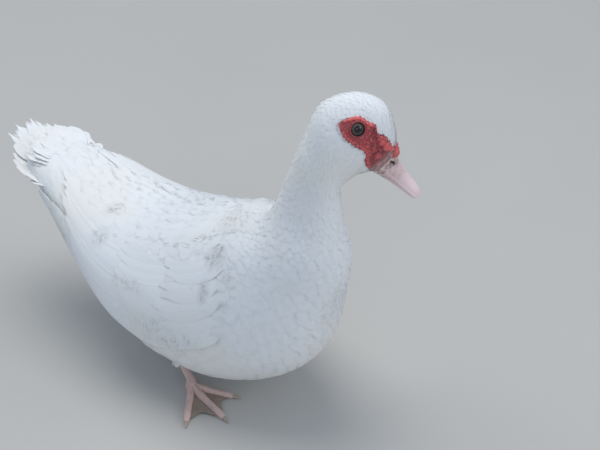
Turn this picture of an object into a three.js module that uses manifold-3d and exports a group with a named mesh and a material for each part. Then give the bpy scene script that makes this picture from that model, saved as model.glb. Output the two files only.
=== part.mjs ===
// A white Muscovy hen, life size, standing with her head turned to her left.
// Millimetres. +X is the way her body faces, +Y is her left, +Z is up, and the floor is z = 0.
// The body is one lofted skin, parted by thin cuts into head, neck and torso.
// Wings, tail, bill, face skin, eyes and legs are set on that skin from its own stations.
import * as THREE from "three";
import { mergeVertices } from "three/addons/utils/BufferGeometryUtils.js";
import Module from "manifold-3d";

const wasm = await Module();
wasm.setup();

// Driving dimensions.
const GAP = 0.3; // clear space between neighbouring pieces
const HEAD_TURN = THREE.MathUtils.degToRad(45); // of the head, to the hen's left
const NECK_AXIS_X = 126; // the head turns about a vertical line here
const NECK_LEAN = 12; // how far the head leans to the left
const SKIN_SIDES = 24; // facets round the body
const SEED = 7;

// Stations of the skin, from the bill's root to the tail's root. Each is a flat section between a point
// on the back line and one on the front line, both as [x, z] before the head is turned, with its half
// width, how far its widest level sits above the middle, and how square it is.
const STATIONS = [
  { name: "bill_root", back: [182, 293], front: [161, 271], half: 13, rise: 0, power: 2 },
  { name: "lores", back: [181, 310], front: [151, 270], half: 18.5, rise: 0, power: 2.1 },
  { name: "eyes", back: [170, 336], front: [144, 267], half: 22, rise: 0, power: 2.1 },
  { name: "crown", back: [152, 345], front: [141, 264], half: 24, rise: 0, power: 2.1 },
  { name: "occiput", back: [117, 337], front: [136, 258], half: 25, rise: 0, power: 2 },
  { name: "nape", back: [103, 305], front: [136, 251], half: 24, rise: 0, power: 2 },
  { name: "upper_neck", back: [93, 272], front: [139, 236], half: 23, rise: 0, power: 2 },
  { name: "mid_neck", back: [82, 238], front: [144, 214], half: 27, rise: 0, power: 2 },
  { name: "neck_root", back: [66, 210], front: [149, 190], half: 38, rise: 0, power: 2 },
  { name: "shoulders", back: [30, 194], front: [143, 144], half: 51, rise: -0.05, power: 2 },
  { name: "breast", back: [0, 184], front: [118, 68], half: 68, rise: -0.08, power: 2.1 },
  { name: "keel", back: [-40, 168], front: [50, 24], half: 79, rise: -0.06, power: 2.2 },
  { name: "loin", back: [-90, 154], front: [-50, 28], half: 77, rise: 0, power: 2.2 },
  { name: "rump", back: [-140, 158], front: [-120, 66], half: 62, rise: 0.12, power: 2.1 },
  { name: "vent", back: [-180, 170], front: [-170, 106], half: 47, rise: 0.12, power: 2.1 },
  { name: "tail_root", back: [-215, 177], front: [-212, 140], half: 35, rise: 0, power: 2 },
];

// Vectors and small helpers.
const vec = (x, y, z) => new THREE.Vector3(x, y, z);
const rad = THREE.MathUtils.degToRad;
const mix = THREE.MathUtils.lerp;
const smooth = (f) => f * f * (3 - 2 * f);
const clamp01 = (f) => Math.min(1, Math.max(0, f));
const range = (n) => Array.from({ length: n }, (_, i) => i);

// The weights, at f from 0 to 1, of a start value, its slope, an end value and its slope.
function cubic(f) {
  const f2 = f * f;
  const f3 = f2 * f;
  return [2 * f3 - 3 * f2 + 1, f3 - 2 * f2 + f, 3 * f2 - 2 * f3, f3 - f2];
}

// A value read from evenly spaced knots, f from 0 to 1, as a smooth curve.
function along(knots, f) {
  const last = knots.length - 1;
  const x = clamp01(f) * last;
  const i = Math.min(last - 1, Math.floor(x));
  const at = (k) => knots[Math.min(last, Math.max(0, k))];
  const slope = (k) => (at(k + 1) - at(k - 1)) / (k > 0 && k < last ? 2 : 1);
  const [start, startSlope, end, endSlope] = cubic(x - i);
  return start * at(i) + startSlope * slope(i) + end * at(i + 1) + endSlope * slope(i + 1);
}

// A repeatable stream of numbers from 0 to 1.
function stream(seed) {
  let state = seed >>> 0;
  return () => {
    state = (state * 1664525 + 1013904223) >>> 0;
    return state / 4294967296;
  };
}

// Solids. A ring is a closed loop of points, and a solid is a stack of rings with a lid at each end.
function manifoldOf(points, triangles) {
  const vertProperties = new Float32Array(points.flatMap((p) => [p.x, p.y, p.z]));
  const build = (faces) => {
    const triVerts = new Uint32Array(faces.flat());
    return new wasm.Manifold(new wasm.Mesh({ numProp: 3, vertProperties, triVerts }));
  };
  const made = build(triangles);
  return made.volume() > 0 ? made : build(triangles.map(([a, b, c]) => [a, c, b]));
}

function ringSolid(rings) {
  const sides = rings[0].length;
  const points = rings.flat();
  const triangles = [];
  for (let i = 0; i < rings.length - 1; i++) {
    for (let j = 0; j < sides; j++) {
      const a = i * sides + j;
      const b = i * sides + ((j + 1) % sides);
      triangles.push([a, b, b + sides], [a, b + sides, a + sides]);
    }
  }
  for (const [ring, start, turn] of [[rings[0], 0, 1], [rings.at(-1), (rings.length - 1) * sides, 0]]) {
    const centre = ring.reduce((sum, p) => sum.add(p), vec(0, 0, 0)).divideScalar(sides);
    const hub = points.push(centre) - 1;
    for (let j = 0; j < sides; j++) {
      const a = start + j;
      const b = start + ((j + 1) % sides);
      triangles.push(turn ? [b, a, hub] : [a, b, hub]);
    }
  }
  return manifoldOf(points, triangles);
}

// A thin plate from a grid of upper points and the same grid of lower points, split alike on both faces.
function plateSolid(upper, lower) {
  const rows = upper.length;
  const cols = upper[0].length;
  const points = [...upper.flat(), ...lower.flat()];
  const up = (i, j) => i * cols + j;
  const low = (i, j) => rows * cols + i * cols + j;
  const triangles = [];
  for (let i = 0; i < rows - 1; i++) {
    for (let j = 0; j < cols - 1; j++) {
      triangles.push([up(i, j), up(i, j + 1), up(i + 1, j + 1)]);
      triangles.push([up(i, j), up(i + 1, j + 1), up(i + 1, j)]);
      triangles.push([low(i, j), low(i + 1, j + 1), low(i, j + 1)]);
      triangles.push([low(i, j), low(i + 1, j), low(i + 1, j + 1)]);
    }
    triangles.push([up(i, 0), up(i + 1, 0), low(i + 1, 0)], [up(i, 0), low(i + 1, 0), low(i, 0)]);
    const e = cols - 1;
    triangles.push([up(i, e), low(i + 1, e), up(i + 1, e)], [up(i, e), low(i, e), low(i + 1, e)]);
  }
  for (let j = 0; j < cols - 1; j++) {
    const e = rows - 1;
    triangles.push([up(0, j), low(0, j + 1), up(0, j + 1)], [up(0, j), low(0, j), low(0, j + 1)]);
    triangles.push([up(e, j), up(e, j + 1), low(e, j + 1)], [up(e, j), low(e, j + 1), low(e, j)]);
  }
  return manifoldOf(points, triangles);
}

function solidOf(geometry, matrix = new THREE.Matrix4()) {
  const bare = geometry.clone().applyMatrix4(matrix);
  bare.deleteAttribute("normal");
  bare.deleteAttribute("uv");
  const merged = mergeVertices(bare, 1e-4);
  const at = merged.attributes.position;
  const points = range(at.count).map((i) => vec(0, 0, 0).fromBufferAttribute(at, i));
  const index = Array.from(merged.index.array);
  return manifoldOf(points, range(index.length / 3).map((i) => index.slice(3 * i, 3 * i + 3)));
}

// A shape set at a place and stretched along its three axes.
function stretched(geometry, at, scale) {
  return solidOf(geometry, new THREE.Matrix4().makeTranslation(...at).scale(vec(...scale)));
}

const fuse = (solids) => solids.reduce((sum, s) => sum.add(s));
const largest = (solid) => solid.decompose().reduce((best, s) => (s.volume() > best.volume() ? s : best));

function geometryOf(solid) {
  const mesh = largest(solid).getMesh();
  const geometry = new THREE.BufferGeometry();
  geometry.setAttribute("position", new THREE.BufferAttribute(new Float32Array(mesh.vertProperties), 3));
  geometry.setIndex(new THREE.BufferAttribute(new Uint32Array(mesh.triVerts), 1));
  geometry.computeVertexNormals();
  return geometry;
}

// The skin, as smooth curves through the stations. t is the length along it in millimetres.
const distance = (p, q) => Math.hypot(p[0] - q[0], p[1] - q[1]);
const STATION_T = [0];
for (let i = 1; i < STATIONS.length; i++) {
  const [a, b] = [STATIONS[i - 1], STATIONS[i]];
  STATION_T.push(STATION_T[i - 1] + (distance(a.back, b.back) + distance(a.front, b.front)) / 2);
}
const STATION_ROWS = STATIONS.map((s) => [...s.back, ...s.front, s.half, s.rise, s.power]);
const tOf = (name) => STATION_T[STATIONS.findIndex((s) => s.name === name)];
const T_END = STATION_T.at(-1);

const STATION_SLOPES = STATION_ROWS.map((row, i) => {
  const slope = (a, b, k) => (STATION_ROWS[b][k] - STATION_ROWS[a][k]) / (STATION_T[b] - STATION_T[a]);
  if (i === 0) return row.map((_, k) => slope(0, 1, k));
  if (i === STATION_ROWS.length - 1) return row.map((_, k) => slope(i - 1, i, k));
  const share = (STATION_T[i] - STATION_T[i - 1]) / (STATION_T[i + 1] - STATION_T[i - 1]);
  return row.map((_, k) => mix(slope(i - 1, i, k), slope(i, i + 1, k), share));
});

function sectionAt(t) {
  const x = Math.min(T_END, Math.max(0, t));
  const i = Math.min(STATION_T.length - 2, STATION_T.findLastIndex((s) => s <= x));
  const h = STATION_T[i + 1] - STATION_T[i];
  const [start, startSlope, end, endSlope] = cubic((x - STATION_T[i]) / h);
  const row = STATION_ROWS[i].map((value, k) => {
    const bend = startSlope * STATION_SLOPES[i][k] + endSlope * STATION_SLOPES[i + 1][k];
    return start * value + end * STATION_ROWS[i + 1][k] + h * bend;
  });
  return { back: [row[0], row[1]], front: [row[2], row[3]], half: row[4], rise: row[5], power: row[6] };
}

// The head's turn, from none at the neck's root to all of it at the crown.
function turnAt(t) {
  const f = clamp01((t - tOf("crown")) / (tOf("neck_root") - tOf("crown")));
  return HEAD_TURN * (1 - smooth(f));
}

function turned(x, y, z, t) {
  const a = turnAt(t);
  const dx = x - NECK_AXIS_X;
  const ahead = dx * Math.cos(a) - y * Math.sin(a);
  const across = dx * Math.sin(a) + y * Math.cos(a);
  return vec(NECK_AXIS_X + ahead, across + (NECK_LEAN * a) / HEAD_TURN, z);
}

// A point of the skin. Angle 0 is the back line, 90 degrees the left side, 180 the front or belly line.
function skinBase(t, angle) {
  const s = sectionAt(t);
  const c = Math.cos(angle);
  const n = Math.sin(angle);
  const cc = Math.sign(c) * Math.abs(c) ** (2 / s.power);
  const nn = Math.sign(n) * Math.abs(n) ** (2 / s.power);
  const up = cc + s.rise * nn * nn;
  const x = (s.back[0] + s.front[0]) / 2 + ((s.back[0] - s.front[0]) / 2) * up;
  const z = (s.back[1] + s.front[1]) / 2 + ((s.back[1] - s.front[1]) / 2) * up;
  return turned(x, s.half * nn, z, t);
}

function skinFrame(t, angle) {
  const dt = 0.5;
  const da = 0.01;
  const at = skinBase(t, angle);
  const after = Math.min(T_END, t + dt);
  const before = Math.max(0, t - dt);
  const alongT = skinBase(after, angle).sub(skinBase(before, angle)).divideScalar(after - before);
  const round = skinBase(t, angle + da).sub(skinBase(t, angle - da)).divideScalar(2 * da);
  const normal = round.clone().cross(alongT).normalize();
  return { at, round, normal };
}

function skin(t, angle, height = 0) {
  const f = skinFrame(t, angle);
  return f.at.addScaledVector(f.normal, height);
}

// The station length t at which the skin has profile x, at an angle round the torso.
function trackAt(x, angle) {
  let low = tOf("neck_root");
  let high = T_END;
  for (let i = 0; i < 40; i++) {
    const mid = (low + high) / 2;
    if (skinBase(mid, angle).x > x) low = mid;
    else high = mid;
  }
  return (low + high) / 2;
}

// The skin's place (t, angle) that a point [x, z] of the unturned profile lies over, on one side.
function placeOver(x, z, side, from, to) {
  const off = (t) => {
    const s = sectionAt(t);
    return (s.back[0] - s.front[0]) * (z - s.front[1]) - (s.back[1] - s.front[1]) * (x - s.front[0]);
  };
  let low = from;
  let high = to;
  const sign = Math.sign(off(low));
  for (let i = 0; i < 40; i++) {
    const mid = (low + high) / 2;
    if (Math.sign(off(mid)) === sign) low = mid;
    else high = mid;
  }
  const t = (low + high) / 2;
  const s = sectionAt(t);
  const [dx, dz] = [s.back[0] - s.front[0], s.back[1] - s.front[1]];
  const up = (2 * ((x - s.front[0]) * dx + (z - s.front[1]) * dz)) / (dx * dx + dz * dz) - 1;
  let a = 0.02;
  let b = Math.PI - 0.02;
  for (let i = 0; i < 40; i++) {
    const mid = (a + b) / 2;
    const c = Math.cos(mid);
    const n = Math.sin(mid);
    const v = Math.sign(c) * Math.abs(c) ** (2 / s.power) + s.rise * Math.abs(n) ** (4 / s.power);
    if (v > up) a = mid;
    else b = mid;
  }
  return { t, angle: (side * (a + b)) / 2 };
}

// The whole skin as one solid, larger all round by a margin.
const HEAD_STEPS = 20;
const TORSO_STEPS = 16;
const RING_T = [
  ...range(HEAD_STEPS).map((i) => (tOf("neck_root") * i) / HEAD_STEPS),
  ...range(TORSO_STEPS + 1).map((i) => mix(tOf("neck_root"), T_END, i / TORSO_STEPS)),
];
function skinSolid(margin) {
  const ring = (t) => range(SKIN_SIDES).map((j) => skin(t, (2 * Math.PI * j) / SKIN_SIDES, margin));
  return ringSolid(RING_T.map(ring));
}

const wholeSkin = skinSolid(0);
const clearSkin = skinSolid(GAP);

// The plane of the section at t, facing along the skin towards the tail.
function planeAt(t) {
  const back = skinBase(t, 0);
  const front = skinBase(t, Math.PI);
  const left = skinBase(t, Math.PI / 2);
  const right = skinBase(t, -Math.PI / 2);
  const normal = back.clone().sub(front).cross(left.clone().sub(right)).normalize();
  const ahead = skinBase(t + 2, 0).add(skinBase(t + 2, Math.PI)).sub(back).sub(front);
  if (normal.dot(ahead) < 0) normal.negate();
  return { normal, offset: normal.dot(front) };
}

// The part of a solid between two sections, each cut GAP / 2 inside.
function between(solid, from, to) {
  let made = solid;
  if (from !== null) {
    const p = planeAt(from);
    made = made.trimByPlane([p.normal.x, p.normal.y, p.normal.z], p.offset + GAP / 2);
  }
  if (to !== null) {
    const p = planeAt(to);
    made = made.trimByPlane([-p.normal.x, -p.normal.y, -p.normal.z], GAP / 2 - p.offset);
  }
  return made;
}

const HEAD_CUT = tOf("nape") + 8;
const NECK_CUT = tOf("neck_root") + 4;
const TAIL_CUT = tOf("vent") + 6;

// Eyes, each a ball in a socket of the head.
const EYE = { x: 145, z: 324, ball: 6.4, opening: 5.3, depth: 4.3 };
function eyeAt(side) {
  const place = placeOver(EYE.x, EYE.z, side, tOf("lores") * 0.5, tOf("nape"));
  const f = skinFrame(place.t, place.angle);
  return { centre: f.at.clone().addScaledVector(f.normal, -EYE.depth), rim: f.at, normal: f.normal };
}
function ball(centre, radius, across = 14, down = 10) {
  return stretched(new THREE.SphereGeometry(radius, across, down), centre.toArray(), [1, 1, 1]);
}

// The bare red skin round each eye, between an upper and a lower outline given as [x, z] from the eye,
// running from its point behind the eye to the bill's root.
const FACE_UPPER = [
  [-15.3, 5.1], [-10.4, 7.5], [-3.9, 9.4], [3, 9.2], [9.4, 4.6],
  [15.6, 0.9], [17.5, -6.7], [24.8, -11.9], [31.2, -24.1], [36, -29.5],
];
const FACE_LOWER = [
  [-15.3, 4.7], [-13.9, -0.4], [-10.8, -6.6], [-6.6, -10.8], [-1.2, -15.7],
  [4.7, -20], [7.8, -25.8], [7.7, -32.1], [10.5, -41.8], [18, -49],
];
const FACE_ROWS = 9;
const FACE_COLUMNS = 6;
const FACE_FLOOR = 0.55; // its inner face, above the feathered skin
const FACE_THICK = 2;
const FACE_EDGE = 1.1;
function facePlace(side, f, g) {
  const at = (k) => {
    const read = (outline) => along(outline.map((p) => p[k]), f);
    return mix(read(FACE_UPPER), read(FACE_LOWER), g);
  };
  return placeOver(EYE.x + at(0), EYE.z + at(1), side, 0.4, tOf("nape"));
}
function facePad(side) {
  const grid = (outer) =>
    range(FACE_ROWS).map((i) =>
      range(FACE_COLUMNS).map((j) => {
        const f = mix(0.02, 1, i / (FACE_ROWS - 1));
        const g = j / (FACE_COLUMNS - 1);
        const place = facePlace(side, f, g);
        const dome = Math.sqrt(Math.max(0, 1 - (2 * g - 1) ** 2)) * Math.min(1, 4 * f);
        return skin(place.t, place.angle, outer ? mix(FACE_EDGE, FACE_THICK, dome) : FACE_FLOOR);
      }),
    );
  return plateSolid(grid(true), grid(false));
}
const BULB_RISE = 1.35;
const BULB_FLOOR = 0.5;
const LID_THICK = 0.95;
const LID_LOW = 0.35; // how far the lid's middle line is sunk below the pad's face
// Bulbs of the face skin: a beaded row above and before the eye, and scattered ones over the lores.
const BULBS = [
  ...range(6).map((i) => ({ f: mix(0.3, 0.93, i / 5), g: 0.06, r: mix(1.4, 2.2, i / 5) })),
  ...range(3).map((i) => ({ f: mix(0.74, 0.96, i / 2), g: 0.38, r: 1.9 })),
  ...range(3).map((i) => ({ f: mix(0.7, 0.96, i / 2), g: 0.7, r: 1.7 })),
  ...range(2).map((i) => ({ f: mix(0.45, 0.8, i), g: 0.92, r: 1.4 })),
];
function faceSkin(side) {
  const draw = stream(SEED);
  const eye = eyeAt(side);
  const lidTurn = new THREE.Matrix4().compose(
    eye.rim.clone().addScaledVector(eye.normal, FACE_THICK - LID_LOW),
    new THREE.Quaternion().setFromUnitVectors(vec(0, 0, 1), eye.normal),
    vec(1, 1, 1),
  );
  const lid = solidOf(new THREE.TorusGeometry(EYE.opening + 0.7, LID_THICK, 4, 12), lidTurn);
  const bulbs = BULBS.map(({ f, g, r }) => {
    const size = r * mix(0.85, 1.15, draw());
    const place = facePlace(side, f, g);
    const outward = skinFrame(place.t, place.angle).normal;
    const turn = new THREE.Quaternion().setFromUnitVectors(vec(0, 1, 0), outward);
    const centre = skin(place.t, place.angle, BULB_FLOOR + BULB_RISE);
    const flattened = new THREE.Matrix4().compose(centre, turn, vec(size, BULB_RISE, size));
    return solidOf(new THREE.SphereGeometry(1, 6, 4), flattened);
  });
  return fuse([facePad(side), lid, ...bulbs])
    .subtract(ball(eye.centre, EYE.ball + GAP, 12, 8))
    .subtract(knobSolid(GAP))
    .subtract(clearSkin);
}

// The bill, in its own frame: x along it from its root, z up from its middle line.
const rootPlane = planeAt(0);
const BILL_PITCH = Math.asin(rootPlane.normal.z); // it points down by this
const BILL_TURN = Math.atan2(-rootPlane.normal.y, -rootPlane.normal.x);
const BILL_LENGTH = 53;
const CULMEN = [11, 8, 4.6, 2, 0, -1.8, -5];
const TOMIUM = [-11, -10, -9.4, -9.2, -9.2, -9.6, -10.4];
const BILL_HALF = [10, 9.2, 8.7, 9, 9.8, 9.4, 4.2];
const JAW_KEEL = [-16, -15, -14, -13.4, -13, -12.6, -12.4];
const JAW_LENGTH = 50;
const MOUTH_LINE = 0.5; // between the closed mandibles
const NOSTRIL = { x: 6.6, z: 2, long: 3.4, high: 1.5 };
const NAIL = { at: [BILL_LENGTH - 2.5, 0, -7.4], half: [4.2, 3.6, 3.4] };
const PALATE = 0.6; // the upper bill's floor is arched up by this between its edges
const billMatrix = new THREE.Matrix4().compose(
  skinBase(0, 0).add(skinBase(0, Math.PI)).multiplyScalar(0.5),
  new THREE.Quaternion().setFromEuler(new THREE.Euler(0, BILL_PITCH, BILL_TURN, "ZYX")),
  vec(1, 1, 1),
);
const BILL_ROWS = 12;
const ARCH_POINTS = 9;
function upperBill() {
  const rings = range(BILL_ROWS).map((i) => {
    const f = i / (BILL_ROWS - 1);
    const x = GAP + (BILL_LENGTH - GAP) * (1 - (1 - f) ** 1.25);
    const g = x / BILL_LENGTH;
    const half = along(BILL_HALF, g);
    const floor = along(TOMIUM, g);
    const arch = along(CULMEN, g) - floor;
    const over = range(ARCH_POINTS).map((j) => {
      const a = (Math.PI * j) / (ARCH_POINTS - 1);
      return vec(x, half * Math.cos(a), floor + arch * Math.sin(a) ** 0.9);
    });
    const under = range(3).map((j) => vec(x, mix(-half, half, (j + 1) / 4), floor + PALATE));
    return [...over, ...under];
  });
  const nostril = stretched(
    new THREE.CylinderGeometry(1, 1, 40, 10),
    [NOSTRIL.x, 0, NOSTRIL.z],
    [NOSTRIL.long, 1, NOSTRIL.high],
  );
  const nail = stretched(new THREE.SphereGeometry(1, 12, 8), NAIL.at, NAIL.half);
  return ringSolid(rings).add(nail).subtract(nostril);
}
function lowerBill() {
  const rings = range(BILL_ROWS - 3).map((i) => {
    const f = i / (BILL_ROWS - 4);
    const x = GAP + (JAW_LENGTH - GAP) * f;
    const g = x / BILL_LENGTH;
    const half = (along(BILL_HALF, g) - 1) * (f < 1 ? 1 : 0.8);
    const top = along(TOMIUM, g) - MOUTH_LINE;
    const keel = Math.min(along(JAW_KEEL, g), top - 1.2);
    return range(10).map((j) => {
      const a = (Math.PI * j) / 9;
      return vec(x, half * Math.cos(a), top - (top - keel) * Math.sin(a) ** 0.8);
    });
  });
  const nailClear = NAIL.half.map((half) => half + MOUTH_LINE);
  return ringSolid(rings).subtract(stretched(new THREE.SphereGeometry(1, 12, 8), NAIL.at, nailClear));
}

// The red knob over the bill's root: one bulb before, and one on each side behind it.
const KNOB = [
  { x: 1.2, y: 0, z: 12.6, r: 4.2 },
  { x: -0.5, y: -5, z: 10.8, r: 3.6 },
  { x: -0.5, y: 5, z: 10.8, r: 3.6 },
  { x: -4.5, y: 0, z: 13.8, r: 3.8 },
];
function knobSolid(margin) {
  const bulbs = KNOB.map((k) => ball(vec(k.x, k.y, k.z), k.r + margin, 8, 6));
  return fuse(bulbs).transform(billMatrix.toArray());
}

// Wings. Heights are above the skin, and angles are counted from the back line down one side.
const WING_FRONT = [66, 88]; // x at the upper and the lower edge
const WING_TOP = 30;
const WING_LOW = 99;
const SHELL_HEIGHT = [2.6, 4.4, 4.6, 4, 3.4, 2.9, 2.3];
const SHELL_FLOOR = 1; // its inner face
const SHELL_EDGE = 1.8; // its outer face at its rim
const SHELL_END = -112;
const SHELL_ROWS = 8;
const SHELL_COLUMNS = 8;
const SHELL_NOSE = 68; // the angle of the middle of the wing's rounded front
const WING_TILT = 2; // each vane's lower edge stands this much prouder than its upper edge
const VANE_THICK = 0.8;
const VANE_ROOT = 1.7; // the height at which each vane's root is sunk in the shell

// One tier of vanes. Each runs from its root to its tip over the skin, and lies over the next one below.
const TIERS = [
  {
    count: 5,
    root: [-58, -66],
    tip: [-178, -186],
    rootAngle: [80, 99],
    tipAngle: [80, 104],
    half: [9, 10],
    height: [2.8, 2.4],
  },
  {
    count: 6,
    root: [-8, 6],
    tip: [-172, -118],
    rootAngle: [36, 94],
    tipAngle: [34, 99],
    half: [16, 15],
    height: [4.6, 4.4],
  },
  {
    count: 5,
    root: [26, 42],
    tip: [-66, -44],
    rootAngle: [38, 94],
    tipAngle: [34, 97],
    half: [18, 17],
    height: [5, 6.9],
  },
  {
    count: 4,
    root: [46, 66],
    tip: [-10, 2],
    rootAngle: [42, 92],
    tipAngle: [36, 96],
    half: [19, 18],
    height: [5.2, 8.4],
  },
  {
    count: 4,
    root: [62, 80],
    tip: [28, 44],
    rootAngle: [50, 90],
    tipAngle: [40, 94],
    half: [16, 15],
    height: [5, 8.8],
  },
];
const VANE_WIDTH = [0.55, 0.9, 1, 0.98, 0.75, 0.3];
const VANE_ROWS = [0, 0.4, 0.85, 1];
const VANE_EDGE = 0.65; // a vane's thickness at its sides, as a share of the middle's
const VANE_TIP = 0.7; // and at its tip
const VANE_SIDES = [-1, 0, 1];

function onSkinVane(side, tier, k) {
  const f = k / (tier.count - 1);
  const rootAngle = rad(mix(...tier.rootAngle, f));
  const tipAngle = rad(mix(...tier.tipAngle, f));
  const rootT = trackAt(mix(...tier.root, f), rootAngle);
  const tipT = trackAt(mix(...tier.tip, f), tipAngle);
  const half = mix(...tier.half, f);
  const surface = (lift) =>
    VANE_ROWS.map((s) => {
      const t = mix(rootT, tipT, s);
      const angle = mix(rootAngle, tipAngle, s);
      const frame = skinFrame(t, side * angle);
      const width = half * along(VANE_WIDTH, s);
      return VANE_SIDES.map((v) => {
        const across = (v * width) / frame.round.length();
        const height = s === 0 ? VANE_ROOT : mix(...tier.height, s) + (WING_TILT * (v + 1)) / 2;
        const body = VANE_THICK * (v === 0 ? 1 : VANE_EDGE) * (s === 1 ? VANE_TIP : 1);
        return skin(t, side * (angle + across), height + lift * body);
      });
    });
  return plateSolid(surface(1), surface(0));
}

function wingShell(side) {
  const grid = (outer) =>
    range(SHELL_ROWS).map((i) => {
      const f = i / (SHELL_ROWS - 1);
      const round = Math.sqrt(Math.min(1, f * 5));
      return range(SHELL_COLUMNS).map((j) => {
        const g = j / (SHELL_COLUMNS - 1);
        const middle = mix(SHELL_NOSE, (WING_TOP + WING_LOW) / 2, round);
        const angle = rad(mix(middle, mix(WING_TOP, WING_LOW, g), round));
        const t = trackAt(mix(mix(...WING_FRONT, g), SHELL_END, f), angle);
        const edge = Math.sqrt(Math.max(0, 1 - (2 * g - 1) ** 4));
        return skin(t, side * angle, outer ? mix(SHELL_EDGE, along(SHELL_HEIGHT, f), edge) : SHELL_FLOOR);
      });
    });
  return plateSolid(grid(true), grid(false));
}

function wing(side) {
  const vanes = TIERS.flatMap((tier) => range(tier.count).map((k) => onSkinVane(side, tier, k)));
  return fuse([wingShell(side), ...vanes]).subtract(clearSkin);
}

// The tail: a root that carries on the body, nine tail feathers on each side, and coverts over and under.
const TAIL = {
  rootX: -199,
  rootY: [1.5, 17],
  rootZ: [158, 147],
  tipX: [-268, -266, -261, -254, -246, -237, -227, -215, -202],
  tipY: [4, 12, 20, 28, 35, 41, 46, 50, 52],
  tipZ: [171, 156],
  turn: 0.14, // the tail swings to the hen's left by this much for each millimetre of its length
  half: 12,
  thick: 0.6,
  sag: -1.5,
  step: 0.7, // each left feather lies this much below its fellow on the right
};
// Coverts spread evenly across the tail. A second value is what is added towards the tail's edges.
const COVERTS = [
  { count: 4, rootZ: [170, -7], tipZ: [178, -12], tipX: [-236, 12], spread: 34, roll: 24 },
  { count: 4, rootZ: [150, 6], tipZ: [152, 5], tipX: [-240, 18], spread: 34, roll: -12 },
];
const COVERT = { rootX: -198, rootY: 16, half: 10, thick: 1, sag: 1 };

function freeVane({ root, tip, half, thick, sag, roll = 0 }) {
  const run = tip.clone().sub(root);
  const ahead = run.clone().normalize();
  const across = ahead.clone().cross(vec(0, 0, 1)).normalize().applyAxisAngle(ahead, roll);
  const lift = across.clone().cross(ahead).normalize();
  const surface = (k) =>
    VANE_ROWS.map((s) => {
      const rise = sag * Math.sin(Math.PI * s);
      const centre = root.clone().addScaledVector(run, s).addScaledVector(lift, rise);
      const width = half * along(VANE_WIDTH, s);
      return VANE_SIDES.map((v) => {
        const body = thick * (v === 0 ? 1 : VANE_EDGE) * (s === 1 ? VANE_TIP : 1);
        return centre.clone().addScaledVector(across, v * width).addScaledVector(lift, (k * body) / 2);
      });
    });
  return plateSolid(surface(1), surface(-1));
}

function tailFeather(k, side) {
  const f = k / (TAIL.tipX.length - 1);
  const step = side > 0 ? TAIL.step : 0;
  const swing = TAIL.turn * (TAIL.rootX - TAIL.tipX[k]);
  return freeVane({
    root: vec(TAIL.rootX, side * mix(...TAIL.rootY, f), mix(...TAIL.rootZ, f) - step),
    tip: vec(TAIL.tipX[k], side * TAIL.tipY[k] + swing, mix(...TAIL.tipZ, f) - step),
    half: TAIL.half,
    thick: TAIL.thick,
    sag: TAIL.sag,
  });
}

function tailCovert(row, k) {
  const f = (2 * k) / (row.count - 1) - 1; // -1 at one edge of the tail, 1 at the other
  const at = ([middle, more]) => middle + more * f * f;
  const swing = TAIL.turn * (TAIL.rootX - row.tipX[0]);
  return freeVane({
    root: vec(COVERT.rootX, f * COVERT.rootY, at(row.rootZ)),
    tip: vec(at(row.tipX), f * row.spread + swing, at(row.tipZ)),
    half: COVERT.half,
    thick: COVERT.thick,
    sag: COVERT.sag,
    roll: f * rad(row.roll),
  });
}

function tail() {
  const core = between(wholeSkin, TAIL_CUT, null);
  const feathers = TAIL.tipX.flatMap((_, k) => [tailFeather(k, -1), tailFeather(k, 1)]);
  const coverts = COVERTS.flatMap((row) => range(row.count).map((k) => tailCovert(row, k)));
  return fuse([core, ...feathers, ...coverts]);
}

// Legs. Each stands at an ankle on the floor, and the shank slants up and back into the feathered thigh.
const LEGS = [
  { name: "right", side: -1, ankle: [4, -48], heading: -14, hip: [-16, -42] },
  { name: "left", side: 1, ankle: [-34, 42], heading: 6, hip: [-44, 40] },
];
const ANKLE_TOP = 13;
const THIGH_BOTTOM = 24;
const THIGH_TOP = 58;
const THIGH = { lean: 4, long: [9, 15, 20, 24, 26], wide: [8, 12, 16, 19, 20] };
const SHANK = { long: [5.2, 4.6, 4.4, 4.8, 6], wide: [4.4, 3.6, 3.4, 3.8, 5] };
const LEG_ROWS = 6;
function oval(x, y, z, long, wide, sides) {
  const angles = range(sides).map((j) => (2 * Math.PI * j) / sides);
  return angles.map((a) => vec(x + long * Math.cos(a), y + wide * Math.sin(a), z));
}
function thigh(leg) {
  const rings = range(LEG_ROWS).map((i) => {
    const f = i / (LEG_ROWS - 1);
    const z = mix(THIGH_BOTTOM, THIGH_TOP, f);
    const x = leg.hip[0] + THIGH.lean * f;
    return oval(x, leg.hip[1], z, along(THIGH.long, f), along(THIGH.wide, f), 16);
  });
  return ringSolid(rings).subtract(clearSkin);
}
function shank(leg) {
  const rings = range(LEG_ROWS).map((i) => {
    const f = i / (LEG_ROWS - 1);
    const z = mix(ANKLE_TOP + GAP, THIGH_BOTTOM - GAP, f);
    const slant = (z - ANKLE_TOP) / (THIGH_BOTTOM - ANKLE_TOP);
    const [x, y] = [0, 1].map((k) => mix(leg.ankle[k], leg.hip[k], slant));
    return oval(x, y, z, along(SHANK.long, f), along(SHANK.wide, f), 12);
  });
  return ringSolid(rings);
}

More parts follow.
